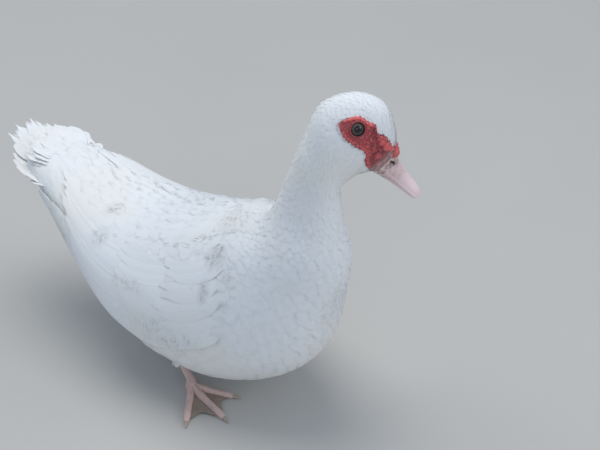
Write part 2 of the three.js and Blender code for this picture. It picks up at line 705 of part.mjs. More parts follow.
// Feet, each in its own frame: the ankle over the origin, the middle toe along +x, the outer toe at -y on
// the right foot. Toes are flat below, and the web between them is held just off the floor.
const TOES = [
  { name: "outer", angle: -40, length: 52 },
  { name: "middle", angle: 0, length: 57 },
  { name: "inner", angle: 36, length: 44 },
];
const TOE_REACH = 0.96; // each toe ends here, where its claw begins
const TOE = { half: [4.8, 3.9, 3.6, 3.2, 3.4, 2.6], high: [11.5, 8.4, 6.8, 5.8, 5.6, 4.2] };
const HIND_TOE = { angle: 158, length: 17, half: [4.2, 3, 2.2], high: [9, 6, 3.6] };
const HUB = { z: [0, 4, 9, ANKLE_TOP], long: [6.4, 6.8, 6, 5.4], wide: [5.6, 6, 5.2, 4.6] };
const WEB = { rows: 4, columns: 5, start: 0.06, end: 0.93, scallop: 0.26 };
const WEB_HEIGHT = { lift: 1, arch: 1.6, thick: 1.3 };
const CLAW = { length: 8.5, half: 2.1, high: 3.4, tipHalf: 0.2, tipHigh: 0.38, lift: 0.3, hook: 0.5 };
const TOE_SECTION = [[-0.8, 0], [0.8, 0], [1, 0.35], [0.7, 0.82], [0, 1], [-0.7, 0.82], [-1, 0.35]];
const CLAW_SECTION = [[-0.7, 0], [0.7, 0], [1, 0.5], [0, 1], [-1, 0.5]];
const TOE_ROWS = 5;

function toe(length, angle, shape) {
  const turn = rad(angle);
  const rings = range(TOE_ROWS).map((i) => {
    const f = i / (TOE_ROWS - 1);
    const half = along(shape.half, f);
    const high = along(shape.high, f);
    const section = TOE_SECTION.map(([y, z]) => vec(f * length, y * half, z * high));
    return section.map((point) => point.applyAxisAngle(vec(0, 0, 1), turn));
  });
  return ringSolid(rings);
}
function web(a, b) {
  const grid = (lift) =>
    range(WEB.rows).map((i) =>
      range(WEB.columns).map((j) => {
        const out = i / (WEB.rows - 1);
        const g = j / (WEB.columns - 1);
        const f = mix(WEB.start, WEB.end, out) * (1 - WEB.scallop * Math.sin(Math.PI * g) * out);
        const arch = WEB_HEIGHT.arch * Math.sin(Math.PI * g) * (1 - 0.5 * f);
        const point = vec(mix(a.length, b.length, g) * f, 0, WEB_HEIGHT.lift + arch + lift);
        return point.applyAxisAngle(vec(0, 0, 1), rad(mix(a.angle, b.angle, g)));
      }),
    );
  return plateSolid(grid(WEB_HEIGHT.thick), grid(0));
}
function foot(side) {
  const mirrored = TOES.map((t) => ({ length: t.length, angle: -side * t.angle }));
  const toes = mirrored.map((t) => toe(t.length * TOE_REACH, t.angle, TOE));
  const hind = toe(HIND_TOE.length, -side * HIND_TOE.angle, HIND_TOE);
  const hub = ringSolid(HUB.z.map((z, i) => oval(0, 0, z, HUB.long[i], HUB.wide[i], 12)));
  const webs = [web(mirrored[0], mirrored[1]), web(mirrored[1], mirrored[2])];
  return fuse([hub, ...toes, hind, ...webs]);
}
function claw() {
  const rings = range(TOE_ROWS).map((i) => {
    const f = i / (TOE_ROWS - 1);
    const half = CLAW.half * mix(1, CLAW.tipHalf, f ** 1.3);
    const high = CLAW.high * mix(1, CLAW.tipHigh, f);
    const low = CLAW.lift + CLAW.hook * Math.sin(Math.PI * f * 0.8);
    return CLAW_SECTION.map(([y, z]) => vec(f * CLAW.length, y * half, low + z * high));
  });
  return ringSolid(rings);
}

// Materials.
const plumage = new THREE.MeshStandardMaterial({ color: 0xe9ebef, roughness: 0.85, metalness: 0 });
const faceRed = new THREE.MeshStandardMaterial({ color: 0xb8433f, roughness: 0.6, metalness: 0 });
const billPink = new THREE.MeshStandardMaterial({ color: 0xd9a9a4, roughness: 0.5, metalness: 0 });
const eyeDark = new THREE.MeshStandardMaterial({ color: 0x4a4a50, roughness: 0.12, metalness: 0 });
const footSkin = new THREE.MeshStandardMaterial({ color: 0xa38a7a, roughness: 0.7, metalness: 0 });
const horn = new THREE.MeshStandardMaterial({ color: 0xb9a48c, roughness: 0.45, metalness: 0 });

function meshOf(name, solid, material) {
  const mesh = new THREE.Mesh(geometryOf(solid), material);
  mesh.name = name;
  return mesh;
}

// Assembly.
const hen = new THREE.Group();
const sockets = fuse([-1, 1].map((side) => ball(eyeAt(side).centre, EYE.ball + GAP, 12, 8)));
const headSolid = between(wholeSkin, null, HEAD_CUT).subtract(sockets).subtract(knobSolid(GAP));
hen.add(meshOf("head", headSolid, plumage));
hen.add(meshOf("neck", between(wholeSkin, HEAD_CUT, NECK_CUT), plumage));
hen.add(meshOf("torso", between(wholeSkin, NECK_CUT, TAIL_CUT), plumage));
hen.add(meshOf("tail", tail(), plumage));

const bill = new THREE.Group();
bill.applyMatrix4(billMatrix);
const knobInBill = knobSolid(GAP).transform(billMatrix.clone().invert().toArray());
bill.add(meshOf("bill_upper", upperBill().subtract(knobInBill), billPink));
bill.add(meshOf("bill_lower", lowerBill(), billPink));
hen.add(bill);
hen.add(meshOf("bill_knob", knobSolid(0), faceRed));

for (const [name, side] of [["right", -1], ["left", 1]]) {
  hen.add(meshOf(`face_skin_${name}`, faceSkin(side), faceRed));
  const eye = meshOf(`eye_${name}`, solidOf(new THREE.SphereGeometry(EYE.ball, 12, 8)), eyeDark);
  eye.position.copy(eyeAt(side).centre);
  hen.add(eye);
  hen.add(meshOf(`wing_${name}`, wing(side), plumage));
}

for (const leg of LEGS) {
  hen.add(meshOf(`thigh_${leg.name}`, thigh(leg), plumage));
  hen.add(meshOf(`shank_${leg.name}`, shank(leg), footSkin));
  const standing = new THREE.Group();
  standing.position.set(leg.ankle[0], leg.ankle[1], 0);
  standing.rotation.z = rad(leg.heading);
  standing.add(meshOf(`foot_${leg.name}`, foot(leg.side), footSkin));
  for (const t of TOES) {
    const nail = meshOf(`claw_${leg.name}_${t.name}`, claw(), horn);
    const turn = rad(-leg.side * t.angle);
    const reach = t.length * TOE_REACH + GAP;
    nail.position.set(reach * Math.cos(turn), reach * Math.sin(turn), 0);
    nail.rotation.z = turn;
    standing.add(nail);
  }
  hen.add(standing);
}

// The origin is under the middle of her outline, on the floor.
hen.updateMatrixWorld(true);
const outline = new THREE.Box3().setFromObject(hen, true);
const middle = outline.getCenter(vec(0, 0, 0));
hen.position.set(-middle.x, -middle.y, -outline.min.z);

export default hen;
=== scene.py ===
"""A white Muscovy hen, life size, standing with her head turned to her left.

Her own sizes are in millimetres in the frame that her stations are drawn in: +X the way her body faces,
+Y her left, +Z up, floor at z = 0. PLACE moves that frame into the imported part's, and meshes are in metres.
"""
import math

import bpy
import numpy as np
from mathutils import Matrix, Vector


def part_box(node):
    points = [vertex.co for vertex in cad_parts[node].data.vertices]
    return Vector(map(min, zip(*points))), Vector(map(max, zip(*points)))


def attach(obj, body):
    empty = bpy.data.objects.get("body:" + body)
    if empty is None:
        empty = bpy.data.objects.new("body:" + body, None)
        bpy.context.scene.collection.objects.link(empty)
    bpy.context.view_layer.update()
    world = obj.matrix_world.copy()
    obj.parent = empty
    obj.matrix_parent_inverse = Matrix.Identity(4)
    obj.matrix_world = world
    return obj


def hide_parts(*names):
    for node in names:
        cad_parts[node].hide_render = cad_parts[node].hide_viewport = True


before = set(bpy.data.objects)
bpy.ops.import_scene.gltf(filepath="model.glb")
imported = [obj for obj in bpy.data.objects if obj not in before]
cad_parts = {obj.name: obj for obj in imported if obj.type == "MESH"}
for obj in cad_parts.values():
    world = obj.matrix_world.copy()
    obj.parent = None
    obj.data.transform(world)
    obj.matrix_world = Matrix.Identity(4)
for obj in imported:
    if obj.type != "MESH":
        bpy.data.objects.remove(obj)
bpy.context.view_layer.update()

MM = 0.001
rng = np.random.default_rng(11)

# The skin's stations, from the bill's root to the tail's root: a point on the back line and one on the
# front line, both as x, z before the head is turned, half width, rise of the widest level, squareness.
STATIONS = {
    "bill_root": (182, 293, 161, 271, 13, 0, 2),
    "lores": (181, 310, 151, 270, 18.5, 0, 2.1),
    "eyes": (170, 336, 144, 267, 22, 0, 2.1),
    "crown": (152, 345, 141, 264, 24, 0, 2.1),
    "occiput": (117, 337, 136, 258, 25, 0, 2),
    "nape": (103, 305, 136, 251, 24, 0, 2),
    "upper_neck": (93, 272, 139, 236, 23, 0, 2),
    "mid_neck": (82, 238, 144, 214, 27, 0, 2),
    "neck_root": (66, 210, 149, 190, 38, 0, 2),
    "shoulders": (30, 194, 143, 144, 51, -0.05, 2),
    "breast": (0, 184, 118, 68, 68, -0.08, 2.1),
    "keel": (-40, 168, 50, 24, 79, -0.06, 2.2),
    "loin": (-90, 154, -50, 28, 77, 0, 2.2),
    "rump": (-140, 158, -120, 66, 62, 0.12, 2.1),
    "vent": (-180, 170, -170, 106, 47, 0.12, 2.1),
    "tail_root": (-215, 177, -212, 140, 35, 0, 2),
}
HEAD_TURN = math.radians(45)
NECK_AXIS_X = 126
NECK_LEAN = 12
COAT_DEPTH = 2.4  # the bare skin lies this far inside the feathered outline on the body
HEAD_DEPTH = 0.9  # and this far on the head
SKIN_CLEARANCE = 0.4  # and this much more under the feathers' roots
COAT_PAST_END = 6  # how far the skin and the coat run on past the last station
SKIN_ROWS, SKIN_SIDES = 240, 96

ROWS = np.array(list(STATIONS.values()), float)
LEAST_HALF_WIDTH = 8
SLOPE_T, SLOPE_A = 0.5, 0.01  # half the steps of t and a that slopes are measured over
LEAST_STEP_T, LEAST_STEP_A = 0.25, 4
NEAR_RIDGE = 0.02  # the angle that places on one side keep from the back and front lines


def station_gaps(k):
    """The distances between neighbouring stations' points, whose x is in column k."""
    return np.hypot(np.diff(ROWS[:, k]), np.diff(ROWS[:, k + 1]))


STATION_T = np.concatenate([[0], np.cumsum((station_gaps(0) + station_gaps(2)) / 2)])
T_OF = dict(zip(STATIONS, STATION_T))
T_END = STATION_T[-1]


def station_slopes():
    gap = np.diff(STATION_T)[:, None]
    rate = np.diff(ROWS, axis=0) / gap
    inner = (rate[:-1] * gap[1:] + rate[1:] * gap[:-1]) / (gap[:-1] + gap[1:])
    return np.vstack([rate[:1], inner, rate[-1:]])


SLOPES = station_slopes()


def smooth(f):
    f = np.clip(f, 0, 1)
    return f * f * (3 - 2 * f)


def mix(a, b, f):
    return a + (b - a) * f


def bell(x, width):
    """A smooth bump, 1 high where x is 0."""
    return np.exp(-(x / width) ** 2)


def hermite(u, start, end, leaving, arriving):
    """A cubic from start to end as u runs from 0 to 1, with its slopes at both."""
    return ((2 * u**3 - 3 * u**2 + 1) * start + (u**3 - 2 * u**2 + u) * leaving
            + (3 * u**2 - 2 * u**3) * end + (u**3 - u**2) * arriving)


def curve(knots, f):
    """A smooth value read from evenly spaced knots, f from 0 to 1."""
    knots = np.asarray(knots, float)
    x = np.clip(f, 0, 1) * (len(knots) - 1)
    i = np.minimum(np.floor(x).astype(int), len(knots) - 2)
    slope = np.gradient(knots)
    return hermite(x - i, knots[i], knots[i + 1], slope[i], slope[i + 1])


def section(t):
    """The stations' seven values at length t along the skin, carried straight on past its tail end."""
    t = np.asarray(t, float)
    inside = np.clip(t, 0, T_END)
    i = np.clip(np.searchsorted(STATION_T, inside, "right") - 1, 0, len(STATION_T) - 2)
    gap = (STATION_T[i + 1] - STATION_T[i])[..., None]
    f = (inside - STATION_T[i])[..., None] / gap
    row = hermite(f, ROWS[i], ROWS[i + 1], gap * SLOPES[i], gap * SLOPES[i + 1])
    row = row + np.maximum(t - T_END, 0)[..., None] * SLOPES[-1]
    row[..., 4] = np.maximum(row[..., 4], LEAST_HALF_WIDTH)
    return row


def signed_power(x, p):
    return np.sign(x) * np.abs(x) ** p


def round_section(row, a):
    """The x, y and z at angle a of the sections in row, before the head is turned."""
    c = signed_power(np.cos(a), 2 / row[..., 6])
    n = signed_power(np.sin(a), 2 / row[..., 6])
    up = c + row[..., 5] * n * n
    x = (row[..., 0] + row[..., 2]) / 2 + (row[..., 0] - row[..., 2]) / 2 * up
    z = (row[..., 1] + row[..., 3]) / 2 + (row[..., 1] - row[..., 3]) / 2 * up
    return x, row[..., 4] * n, z


def down_neck(t):
    """0 on the head, rising to 1 at the neck's root."""
    return smooth((t - T_OF["crown"]) / (T_OF["neck_root"] - T_OF["crown"]))


def body(t, a):
    """A point of the feathered outline. Angle 0 is the back line, a quarter turn is the left side."""
    t, a = np.broadcast_arrays(np.asarray(t, float), np.asarray(a, float))
    x, y, z = round_section(section(t), a)
    yaw = HEAD_TURN * (1 - down_neck(t))
    dx = x - NECK_AXIS_X
    return np.stack([
        NECK_AXIS_X + dx * np.cos(yaw) - y * np.sin(yaw),
        dx * np.sin(yaw) + y * np.cos(yaw) + NECK_LEAN * yaw / HEAD_TURN,
        z,
    ], -1)


def unit(v):
    return v / np.maximum(np.linalg.norm(v, axis=-1, keepdims=True), 1e-9)


class Surface:
    """A surface over (t, a), with its normal and how many millimetres one step of t or a is."""

    def __init__(self, point):
        self.point = point

    def frame(self, t, a):
        d_t = (self.point(t + SLOPE_T, a) - self.point(t - SLOPE_T, a)) / (2 * SLOPE_T)
        d_a = (self.point(t, a + SLOPE_A) - self.point(t, a - SLOPE_A)) / (2 * SLOPE_A)
        return d_t, d_a, unit(np.cross(d_a, d_t))

    def above(self, t, a, height):
        _, _, normal = self.frame(t, a)
        return self.point(t, a) + normal * np.asarray(height)[..., None]

    def metric(self, t, a):
        d_t, d_a, _ = self.frame(t, a)
        step_t, step_a = (np.linalg.norm(slope, axis=-1) for slope in (d_t, d_a))
        return np.maximum(step_t, LEAST_STEP_T), np.maximum(step_a, LEAST_STEP_A)


BODY = Surface(body)


def bisect(low, high, before):
    """The value between low and high up to which before is true."""
    for _ in range(30):
        mid = (low + high) / 2
        early = before(mid)
        low = np.where(early, mid, low)
        high = np.where(early, high, mid)
    return (low + high) / 2


def track(x, a):
    """The length t at which the torso has profile x, at angle a."""
    x, a = np.broadcast_arrays(np.asarray(x, float), np.asarray(a, float))
    ends = (np.full(x.shape, T_OF["neck_root"]), np.full(x.shape, T_END))
    return bisect(*ends, lambda t: body(t, a)[..., 0] > x)


def place_over(x, z, side, start, end):
    """The (t, a) of the skin that a point x, z of the unturned profile lies over, on one side."""
    x, z = np.asarray(x, float), np.asarray(z, float)

    def ahead(t):
        """Positive or negative with the side of the section at t that the point is on."""
        row = section(t)
        across, rise = row[..., 0] - row[..., 2], row[..., 1] - row[..., 3]
        return np.sign(across * (z - row[..., 3]) - rise * (x - row[..., 2]))

    first = np.full(x.shape, float(start))
    sign = ahead(first)
    t = bisect(first, np.full(x.shape, float(end)), lambda t: ahead(t) == sign)
    row = section(t)
    front = row[..., 2:4]
    line = row[..., :2] - front
    along = (x - front[..., 0]) * line[..., 0] + (z - front[..., 1]) * line[..., 1]
    up = 2 * along / (line**2).sum(-1) - 1
    power = 2 / row[..., 6]

    def above(a):
        return signed_power(np.cos(a), power) + row[..., 5] * np.abs(np.sin(a)) ** (2 * power) > up

    a = bisect(np.full(x.shape, NEAR_RIDGE), np.full(x.shape, math.pi - NEAR_RIDGE), above)
    return t, side * a


# The eyes, as in the solids.
EYE_X, EYE_Z = 145, 324
EYE_BALL = 6.4
EYE_OPENING = 5.3
EYE_DEPTH = 4.3  # of the ball's middle under the skin


def eye_place(side):
    t, a = place_over(EYE_X, EYE_Z, side, T_OF["lores"] * 0.5, T_OF["nape"])
    _, _, normal = BODY.frame(t, a)
    return BODY.point(t, a) - normal * EYE_DEPTH, normal


def node_middle(name):
    low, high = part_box(name)
    return np.array((low + high) / 2)


PLACE = node_middle("eye_right") / MM - eye_place(-1)[0]


# Meshes.
def to_metres(points):
    return (np.asarray(points, float) + PLACE) * MM


def piece(name, points, faces, slot, material=None, uv=None, bake=None, values=None, stands_for=()):
    """A mesh object from points in millimetres and faces that all have the same number of corners."""
    faces = np.asarray(faces, np.int32)
    corners = faces.shape[1]
    mesh = bpy.data.meshes.new(name)
    mesh.vertices.add(len(points))
    mesh.vertices.foreach_set("co", to_metres(points).astype(np.float32).ravel())
    mesh.loops.add(faces.size)
    mesh.loops.foreach_set("vertex_index", faces.ravel())
    mesh.polygons.add(len(faces))
    mesh.polygons.foreach_set("loop_start", np.arange(0, faces.size, corners, dtype=np.int32))
    mesh.polygons.foreach_set("use_smooth", np.ones(len(faces), bool))
    mesh.update(calc_edges=True)
    for label, data in (("Vane", uv), ("OFBake", bake)):
        if data is not None:
            layer = mesh.uv_layers.new(name=label)
            layer.data.foreach_set("uv", data[faces.ravel()].astype(np.float32).ravel())
    for label, data in (values or {}).items():
        layer = mesh.attributes.new(label, "FLOAT", "POINT")
        layer.data.foreach_set("value", np.asarray(data, np.float32).ravel())
    made = bpy.data.objects.new(name, mesh)
    bpy.context.scene.collection.objects.link(made)
    mesh.materials.append(material or FINISHES[slot])
    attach(made, "root")
    if stands_for:
        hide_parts(*stands_for)
    return made


def grid_faces(rows, cols, wrap=False):
    """Quads over a grid of points, row by row. wrap joins the last column to the first."""
    i = np.arange(rows - 1)[:, None]
    j = np.arange(cols if wrap else cols - 1)[None, :]
    k = (j + 1) % cols
    quads = np.stack([i * cols + j, i * cols + k, (i + 1) * cols + k, (i + 1) * cols + j], -1)
    return quads.reshape(-1, 4)


def around(count):
    """Evenly spaced angles of one full turn."""
    return np.linspace(0, 2 * math.pi, count, endpoint=False)


def tube(rings):
    """Points and quads of a closed tube through rings, each a loop of points, its ends drawn to a point."""
    rings = np.asarray(rings, float)
    first, last = (np.repeat(rings[k].mean(0)[None, None], rings.shape[1], 1) for k in (0, -1))
    rings = np.concatenate([first, rings, last])
    return rings.reshape(-1, 3), grid_faces(len(rings), rings.shape[1], wrap=True)


def plate(upper, lower):
    """Points and quads of a closed plate between two grids."""
    rows, cols = upper.shape[:2]
    points = np.concatenate([upper.reshape(-1, 3), lower.reshape(-1, 3)])
    top = grid_faces(rows, cols)
    bottom = top[:, [0, 3, 2, 1]] + rows * cols
    right = np.arange(1, rows) * cols + cols - 1
    back = (rows - 1) * cols + np.arange(cols - 2, -1, -1)
    left = np.arange(rows - 2, 0, -1) * cols
    edge = np.concatenate([np.arange(cols), right, back, left])
    after = np.roll(edge, -1)
    rim = np.stack([after, edge, edge + rows * cols, after + rows * cols], -1)
    return points, np.concatenate([top, bottom, rim])


def sheet_solid(upper, lower):
    """The same plate in triangles, split alike above and below."""
    points, quads = plate(upper, lower)
    return points, np.concatenate([quads[:, [0, 1, 2]], quads[:, [0, 2, 3]]])


def joined(parts):
    points, faces, start = [], [], 0
    for p, f in parts:
        points.append(p)
        faces.append(f + start)
        start += len(p)
    return np.concatenate(points), np.concatenate(faces)


# Materials.
class Nodes:
    """A short way to write a material's nodes."""

    def __init__(self, name):
        self.material = bpy.data.materials.new(name)
        self.material.use_nodes = True
        self.tree = self.material.node_tree
        self.shader = self.tree.nodes["Principled BSDF"]

    def plug(self, socket, value):
        """Feeds a socket from another node's output, or sets it to a plain value."""
        if isinstance(value, bpy.types.NodeSocket):
            self.tree.links.new(value, socket)
        else:
            socket.default_value = value

    def add(self, kind, inputs=None, **settings):
        node = self.tree.nodes.new(kind)
        for key, value in settings.items():
            setattr(node, key, value)
        for key, value in (inputs or {}).items():
            self.plug(node.inputs[key], value)
        return node

    def math(self, operation, *values, clamp=False):
        node = self.add("ShaderNodeMath", dict(enumerate(values)), operation=operation, use_clamp=clamp)
        return node.outputs[0]

    def vector(self, operation, *values):
        node = self.add("ShaderNodeVectorMath", dict(enumerate(values)), operation=operation)
        return node.outputs["Value" if operation == "LENGTH" else "Vector"]

    def noise(self, scale, detail=3, vector=None, roughness=0.55):
        inputs = {"Scale": scale, "Detail": detail, "Roughness": roughness}
        inputs["Vector"] = vector or self.position()
        return self.add("ShaderNodeTexNoise", inputs).outputs["Fac"]

    def position(self):
        return self.add("ShaderNodeTexCoord").outputs["Object"]

    def value(self, label):
        return self.add("ShaderNodeAttribute", attribute_name=label).outputs["Fac"]

    def remap(self, value, low, high):
        """0 where value is at low, 1 where it is at high, and smooth between."""
        inputs = {"Value": value, "From Min": low, "From Max": high}
        return self.add("ShaderNodeMapRange", inputs, interpolation_type="SMOOTHSTEP").outputs["Result"]

    def blend(self, factor, a, b):
        node = self.add("ShaderNodeMix", data_type="RGBA")
        for index, item in ((0, factor), (6, a), (7, b)):
            self.plug(node.inputs[index], item)
        return node.outputs[2]

    def tint(self, colour, over, mask, share):
        """colour with another one over it where the mask is 1, by share at most."""
        return self.blend(self.math("MULTIPLY", mask, share), colour, over)

    def bump(self, height, strength, distance):
        node = self.add("ShaderNodeBump", {"Height": height, "Strength": strength, "Distance": distance})
        self.plug(self.shader.inputs["Normal"], node.outputs[0])

    def set(self, **inputs):
        for key, item in inputs.items():
            self.plug(self.shader.inputs[key.replace("_", " ")], item)


def rgb(r, g, b):
    return (r, g, b, 1.0)


WHITE = rgb(0.86, 0.875, 0.895)
WARM_WHITE = rgb(0.865, 0.85, 0.82)
MUD_AND_SHADE_BROWN = rgb(0.25, 0.225, 0.20)
BARB_GREY = rgb(0.55, 0.57, 0.6)
# Where the plumage is darkened, by dried mud and in two patches by painted shade: centre and reach in
# millimetres, and how strongly.
MUD_AND_SHADE_PATCHES = [
    ((44, -51, 176), (15, 14, 26), 0.85),
    ((43, -71, 149), (8, 14, 18), 0.8),
    ((62, -60, 166), (10, 12, 9), 0.5),
    ((66, -72, 140), (9, 12, 9), 0.5),
    ((42, -14, 194), (40, 30, 14), 0.42),
    ((-98, -62, 142), (16, 24, 11), 0.5),
    ((-108, -26, 154), (14, 18, 9), 0.45),
    # painted shadow: a grey band on the flank below the wing's lower edge
    ((-40, -80, 123), (40, 20, 12), 0.35),
    ((-160, -56, 120), (46, 40, 34), 0.4),
    # painted shade: the lower flank darkened brown-grey
    ((6, -84, 88), (60, 24, 26), 0.42),
    ((141, 7, 140), (16, 40, 50), 0.26),
    ((-20, 62, 150), (34, 26, 34), 0.4),
]


MUD_AND_SHADE_VEIL = 0.26  # how much of each patch of mud and painted shade is an even veil, under its flecks


def mud_and_shade(m):
    """How much dried mud and painted shade each place has: streaky flecks over a soft veil, round the middle
    of each patch.
    """
    streaks = m.vector("MULTIPLY", m.position(), (1.0, 1.0, 0.4))
    flecks = m.remap(m.noise(250, 4, vector=streaks, roughness=0.7), 0.46, 0.68)
    clouds = m.remap(m.noise(55, 3), 0.32, 0.6)
    stain_and_shade = 0.0
    for centre, reach, strength in MUD_AND_SHADE_PATCHES:
        offset = m.vector("SUBTRACT", m.position(), tuple(to_metres(centre)))
        scaled = m.vector("MULTIPLY", offset, tuple(1 / (r * MM) for r in reach))
        here = m.math("MULTIPLY", m.remap(m.vector("LENGTH", scaled), 1.0, 0.15), strength)
        stain_and_shade = m.math("MAXIMUM", stain_and_shade, here)
    patch = m.math("MULTIPLY", stain_and_shade, m.math("MULTIPLY", flecks, clouds))
    return m.math("ADD", patch, m.math("MULTIPLY", stain_and_shade, MUD_AND_SHADE_VEIL), clamp=True)


def plumage(name, barbs):
    """White feathers: faint warm and cool drifts, fine barbs along each vane, and smudges of dried mud, with
    painted shade in a band on the flank below the wing and on the lower flank.
    """
    m = Nodes(name)
    drift = m.remap(m.noise(9, 3), 0.35, 0.7)
    colour = m.blend(mud_and_shade(m), m.blend(drift, WHITE, WARM_WHITE), MUD_AND_SHADE_BROWN)
    if barbs:
        inputs = {"Scale": 5.0, "Distortion": 1.2, "Detail": 1.0, "Detail Scale": 2.0}
        inputs["Vector"] = m.add("ShaderNodeUVMap", uv_map="Vane").outputs[0]
        wave = m.add("ShaderNodeTexWave", inputs, bands_direction="Y").outputs["Fac"]
        colour = m.tint(colour, BARB_GREY, wave, 0.05)
        m.bump(wave, 0.12, 0.0003)
    m.set(Base_Color=colour, Roughness=0.72, Sheen_Weight=0.25, Sheen_Roughness=0.4, Specular_IOR_Level=0.25)
    return m.material


def face_red():
    """Bare red skin: painted highlight on the bulbs and painted shade in the folds, and mottled mauve and
    grey by the bill.
    """
    m = Nodes("face_red")
    spots = m.remap(m.noise(420, 3), 0.45, 0.75)
    # The rise value paints highlight on the bulbs and shade in the folds.
    colour = m.blend(m.value("rise"), rgb(0.20, 0.020, 0.030), rgb(0.74, 0.115, 0.115))
    colour = m.tint(colour, rgb(0.66, 0.17, 0.16), spots, 0.4)
    blotches = m.remap(m.noise(230, 4, roughness=0.65), 0.4, 0.62)
    mauve = m.blend(blotches, rgb(0.50, 0.25, 0.24), rgb(0.22, 0.14, 0.14))
    colour = m.blend(m.value("pale"), colour, mauve)
    colour = m.blend(m.value("dark"), colour, rgb(0.03, 0.022, 0.026))
    m.bump(m.noise(900, 2), 0.3, 0.0004)
    m.set(Base_Color=colour, Roughness=0.42, Coat_Weight=0.1, Coat_Roughness=0.3)
    m.set(Subsurface_Weight=0.10, Subsurface_Scale=0.002, Subsurface_Radius=(1.0, 0.3, 0.2))
    return m.material


def bill_horn():
    """Pale pink bill, mottled grey and mauve towards its root, with painted shade in the nostrils."""
    m = Nodes("bill_horn")
    along = m.value("along")
    mottle = m.remap(m.noise(170, 4, roughness=0.65), 0.44, 0.62)
    by_root = m.math("MULTIPLY", mottle, m.remap(along, 0.55, 0.0))
    colour = m.blend(m.remap(along, 0.0, 0.8), rgb(0.74, 0.54, 0.52), rgb(0.90, 0.71, 0.71))
    colour = m.tint(colour, rgb(0.24, 0.17, 0.17), by_root, 0.8)
    colour = m.tint(colour, rgb(0.62, 0.40, 0.39), m.remap(m.noise(90, 3), 0.5, 0.75), 0.25)
    # painted shade: the nostril dents go near black
    colour = m.blend(m.value("dark"), colour, rgb(0.03, 0.022, 0.022))
    m.bump(m.noise(320, 4), 0.2, 0.0005)
    m.set(Base_Color=colour, Roughness=0.42, Coat_Weight=0.06, Coat_Roughness=0.35)
    m.set(Subsurface_Weight=0.08, Subsurface_Scale=0.002)
    return m.material


def eye_gloss():
    """A wet eye, by how far from the middle of its gaze: black pupil, brown iris, dark rim."""
    m = Nodes("eye_gloss")
    gaze = m.value("gaze")
    iris = m.blend(m.noise(900, 2), rgb(0.16, 0.125, 0.11), rgb(0.27, 0.22, 0.20))
    colour = m.blend(m.remap(gaze, 0.50, 0.56), rgb(0.004, 0.004, 0.005), iris)
    colour = m.blend(m.remap(gaze, 0.92, 0.99), colour, rgb(0.02, 0.016, 0.016))
    m.set(Base_Color=colour, Roughness=0.2, Coat_Weight=0.55, Coat_Roughness=0.03, Specular_IOR_Level=0.3)
    return m.material


def foot_skin():
    """Dusty webbed feet: brown-grey webs and pinkish, scaly toes."""
    m = Nodes("foot_skin")
    web = m.blend(m.noise(60, 3), rgb(0.26, 0.195, 0.155), rgb(0.40, 0.32, 0.265))
    toes = m.blend(m.noise(90, 3), rgb(0.84, 0.57, 0.54), rgb(0.64, 0.47, 0.42))
    dust = m.remap(m.noise(240, 4, roughness=0.7), 0.5, 0.7)
    colour = m.tint(m.blend(m.value("toe"), web, toes), rgb(0.36, 0.30, 0.26), dust, 0.4)
    scales = {"Vector": m.position(), "Scale": 620.0}
    cells = m.add("ShaderNodeTexVoronoi", scales, feature="DISTANCE_TO_EDGE")
    m.bump(m.remap(cells.outputs["Distance"], 0.0, 0.12), 0.5, 0.0006)
    m.set(Base_Color=colour, Roughness=0.66)
    return m.material


def claw_horn():
    m = Nodes("claw_horn")
    streak = m.noise(300, 3)
    m.bump(streak, 0.2, 0.0003)
    m.set(Base_Color=m.blend(streak, rgb(0.33, 0.25, 0.19), rgb(0.55, 0.45, 0.36)), Roughness=0.42)
    return m.material


FINISHES = {
    "plumage": plumage("plumage", barbs=True),
    "face_skin": face_red(),
    "bill": bill_horn(),
    "eye": eye_gloss(),
    "foot_skin": foot_skin(),
    "claw": claw_horn(),
}
DOWN = plumage("down", barbs=False)


# The wing stands out from the body as a smooth swelling that the feathers lie on.
WING_FRONT_TOP, WING_FRONT_LOW = 66, 88
WING_END = -112
WING_TOP, WING_LOW = 30, 99
WING_HEIGHT = [0, 4.2, 4.8, 4.2, 3.4, 2.8, 0.6]


def wing_swell(t, a):
    degrees = np.degrees(np.abs((a + math.pi) % (2 * math.pi) - math.pi))
    g = (degrees - WING_TOP) / (WING_LOW - WING_TOP)
    front = mix(WING_FRONT_TOP, WING_FRONT_LOW, np.clip(g, 0, 1))
    f = (front - body(t, a)[..., 0]) / (front - WING_END)
    across = smooth(np.minimum(g, 1 - g) * 5 + 0.4)
    inside = (f > 0) & (f < 1)
    return np.where(inside, curve(WING_HEIGHT, f), 0) * across


def coat_depth(t):
    return mix(HEAD_DEPTH, COAT_DEPTH, down_neck(t))


# Legs, as in the solids.
LEGS = [
    {"name": "right", "side": -1, "ankle": (4, -48), "heading": -14, "hip": (-16, -42)},
    {"name": "left", "side": 1, "ankle": (-34, 42), "heading": 6, "hip": (-44, 40)},
]
ANKLE_TOP = 13
THIGH_BOTTOM, THIGH_TOP = 24, 58
THIGH_LEAN = 4  # how much further forward a thigh's top is than its foot end
THIGH_LONG, THIGH_WIDE = [6, 12, 17, 22, 24], [5, 10, 14, 17, 18]


def thigh_surface(leg):
    """The thigh over t, down from its top in millimetres, and a, round it."""
    def point(t, a):
        t, a = np.broadcast_arrays(np.asarray(t, float), np.asarray(a, float))
        f = 1 - t / (THIGH_TOP - THIGH_BOTTOM)
        x = leg["hip"][0] + THIGH_LEAN * f + curve(THIGH_LONG, f) * np.cos(a)
        y = leg["hip"][1] - curve(THIGH_WIDE, f) * np.sin(a)
        return np.stack([x, y, mix(THIGH_BOTTOM, THIGH_TOP, f)], -1)
    return Surface(point)


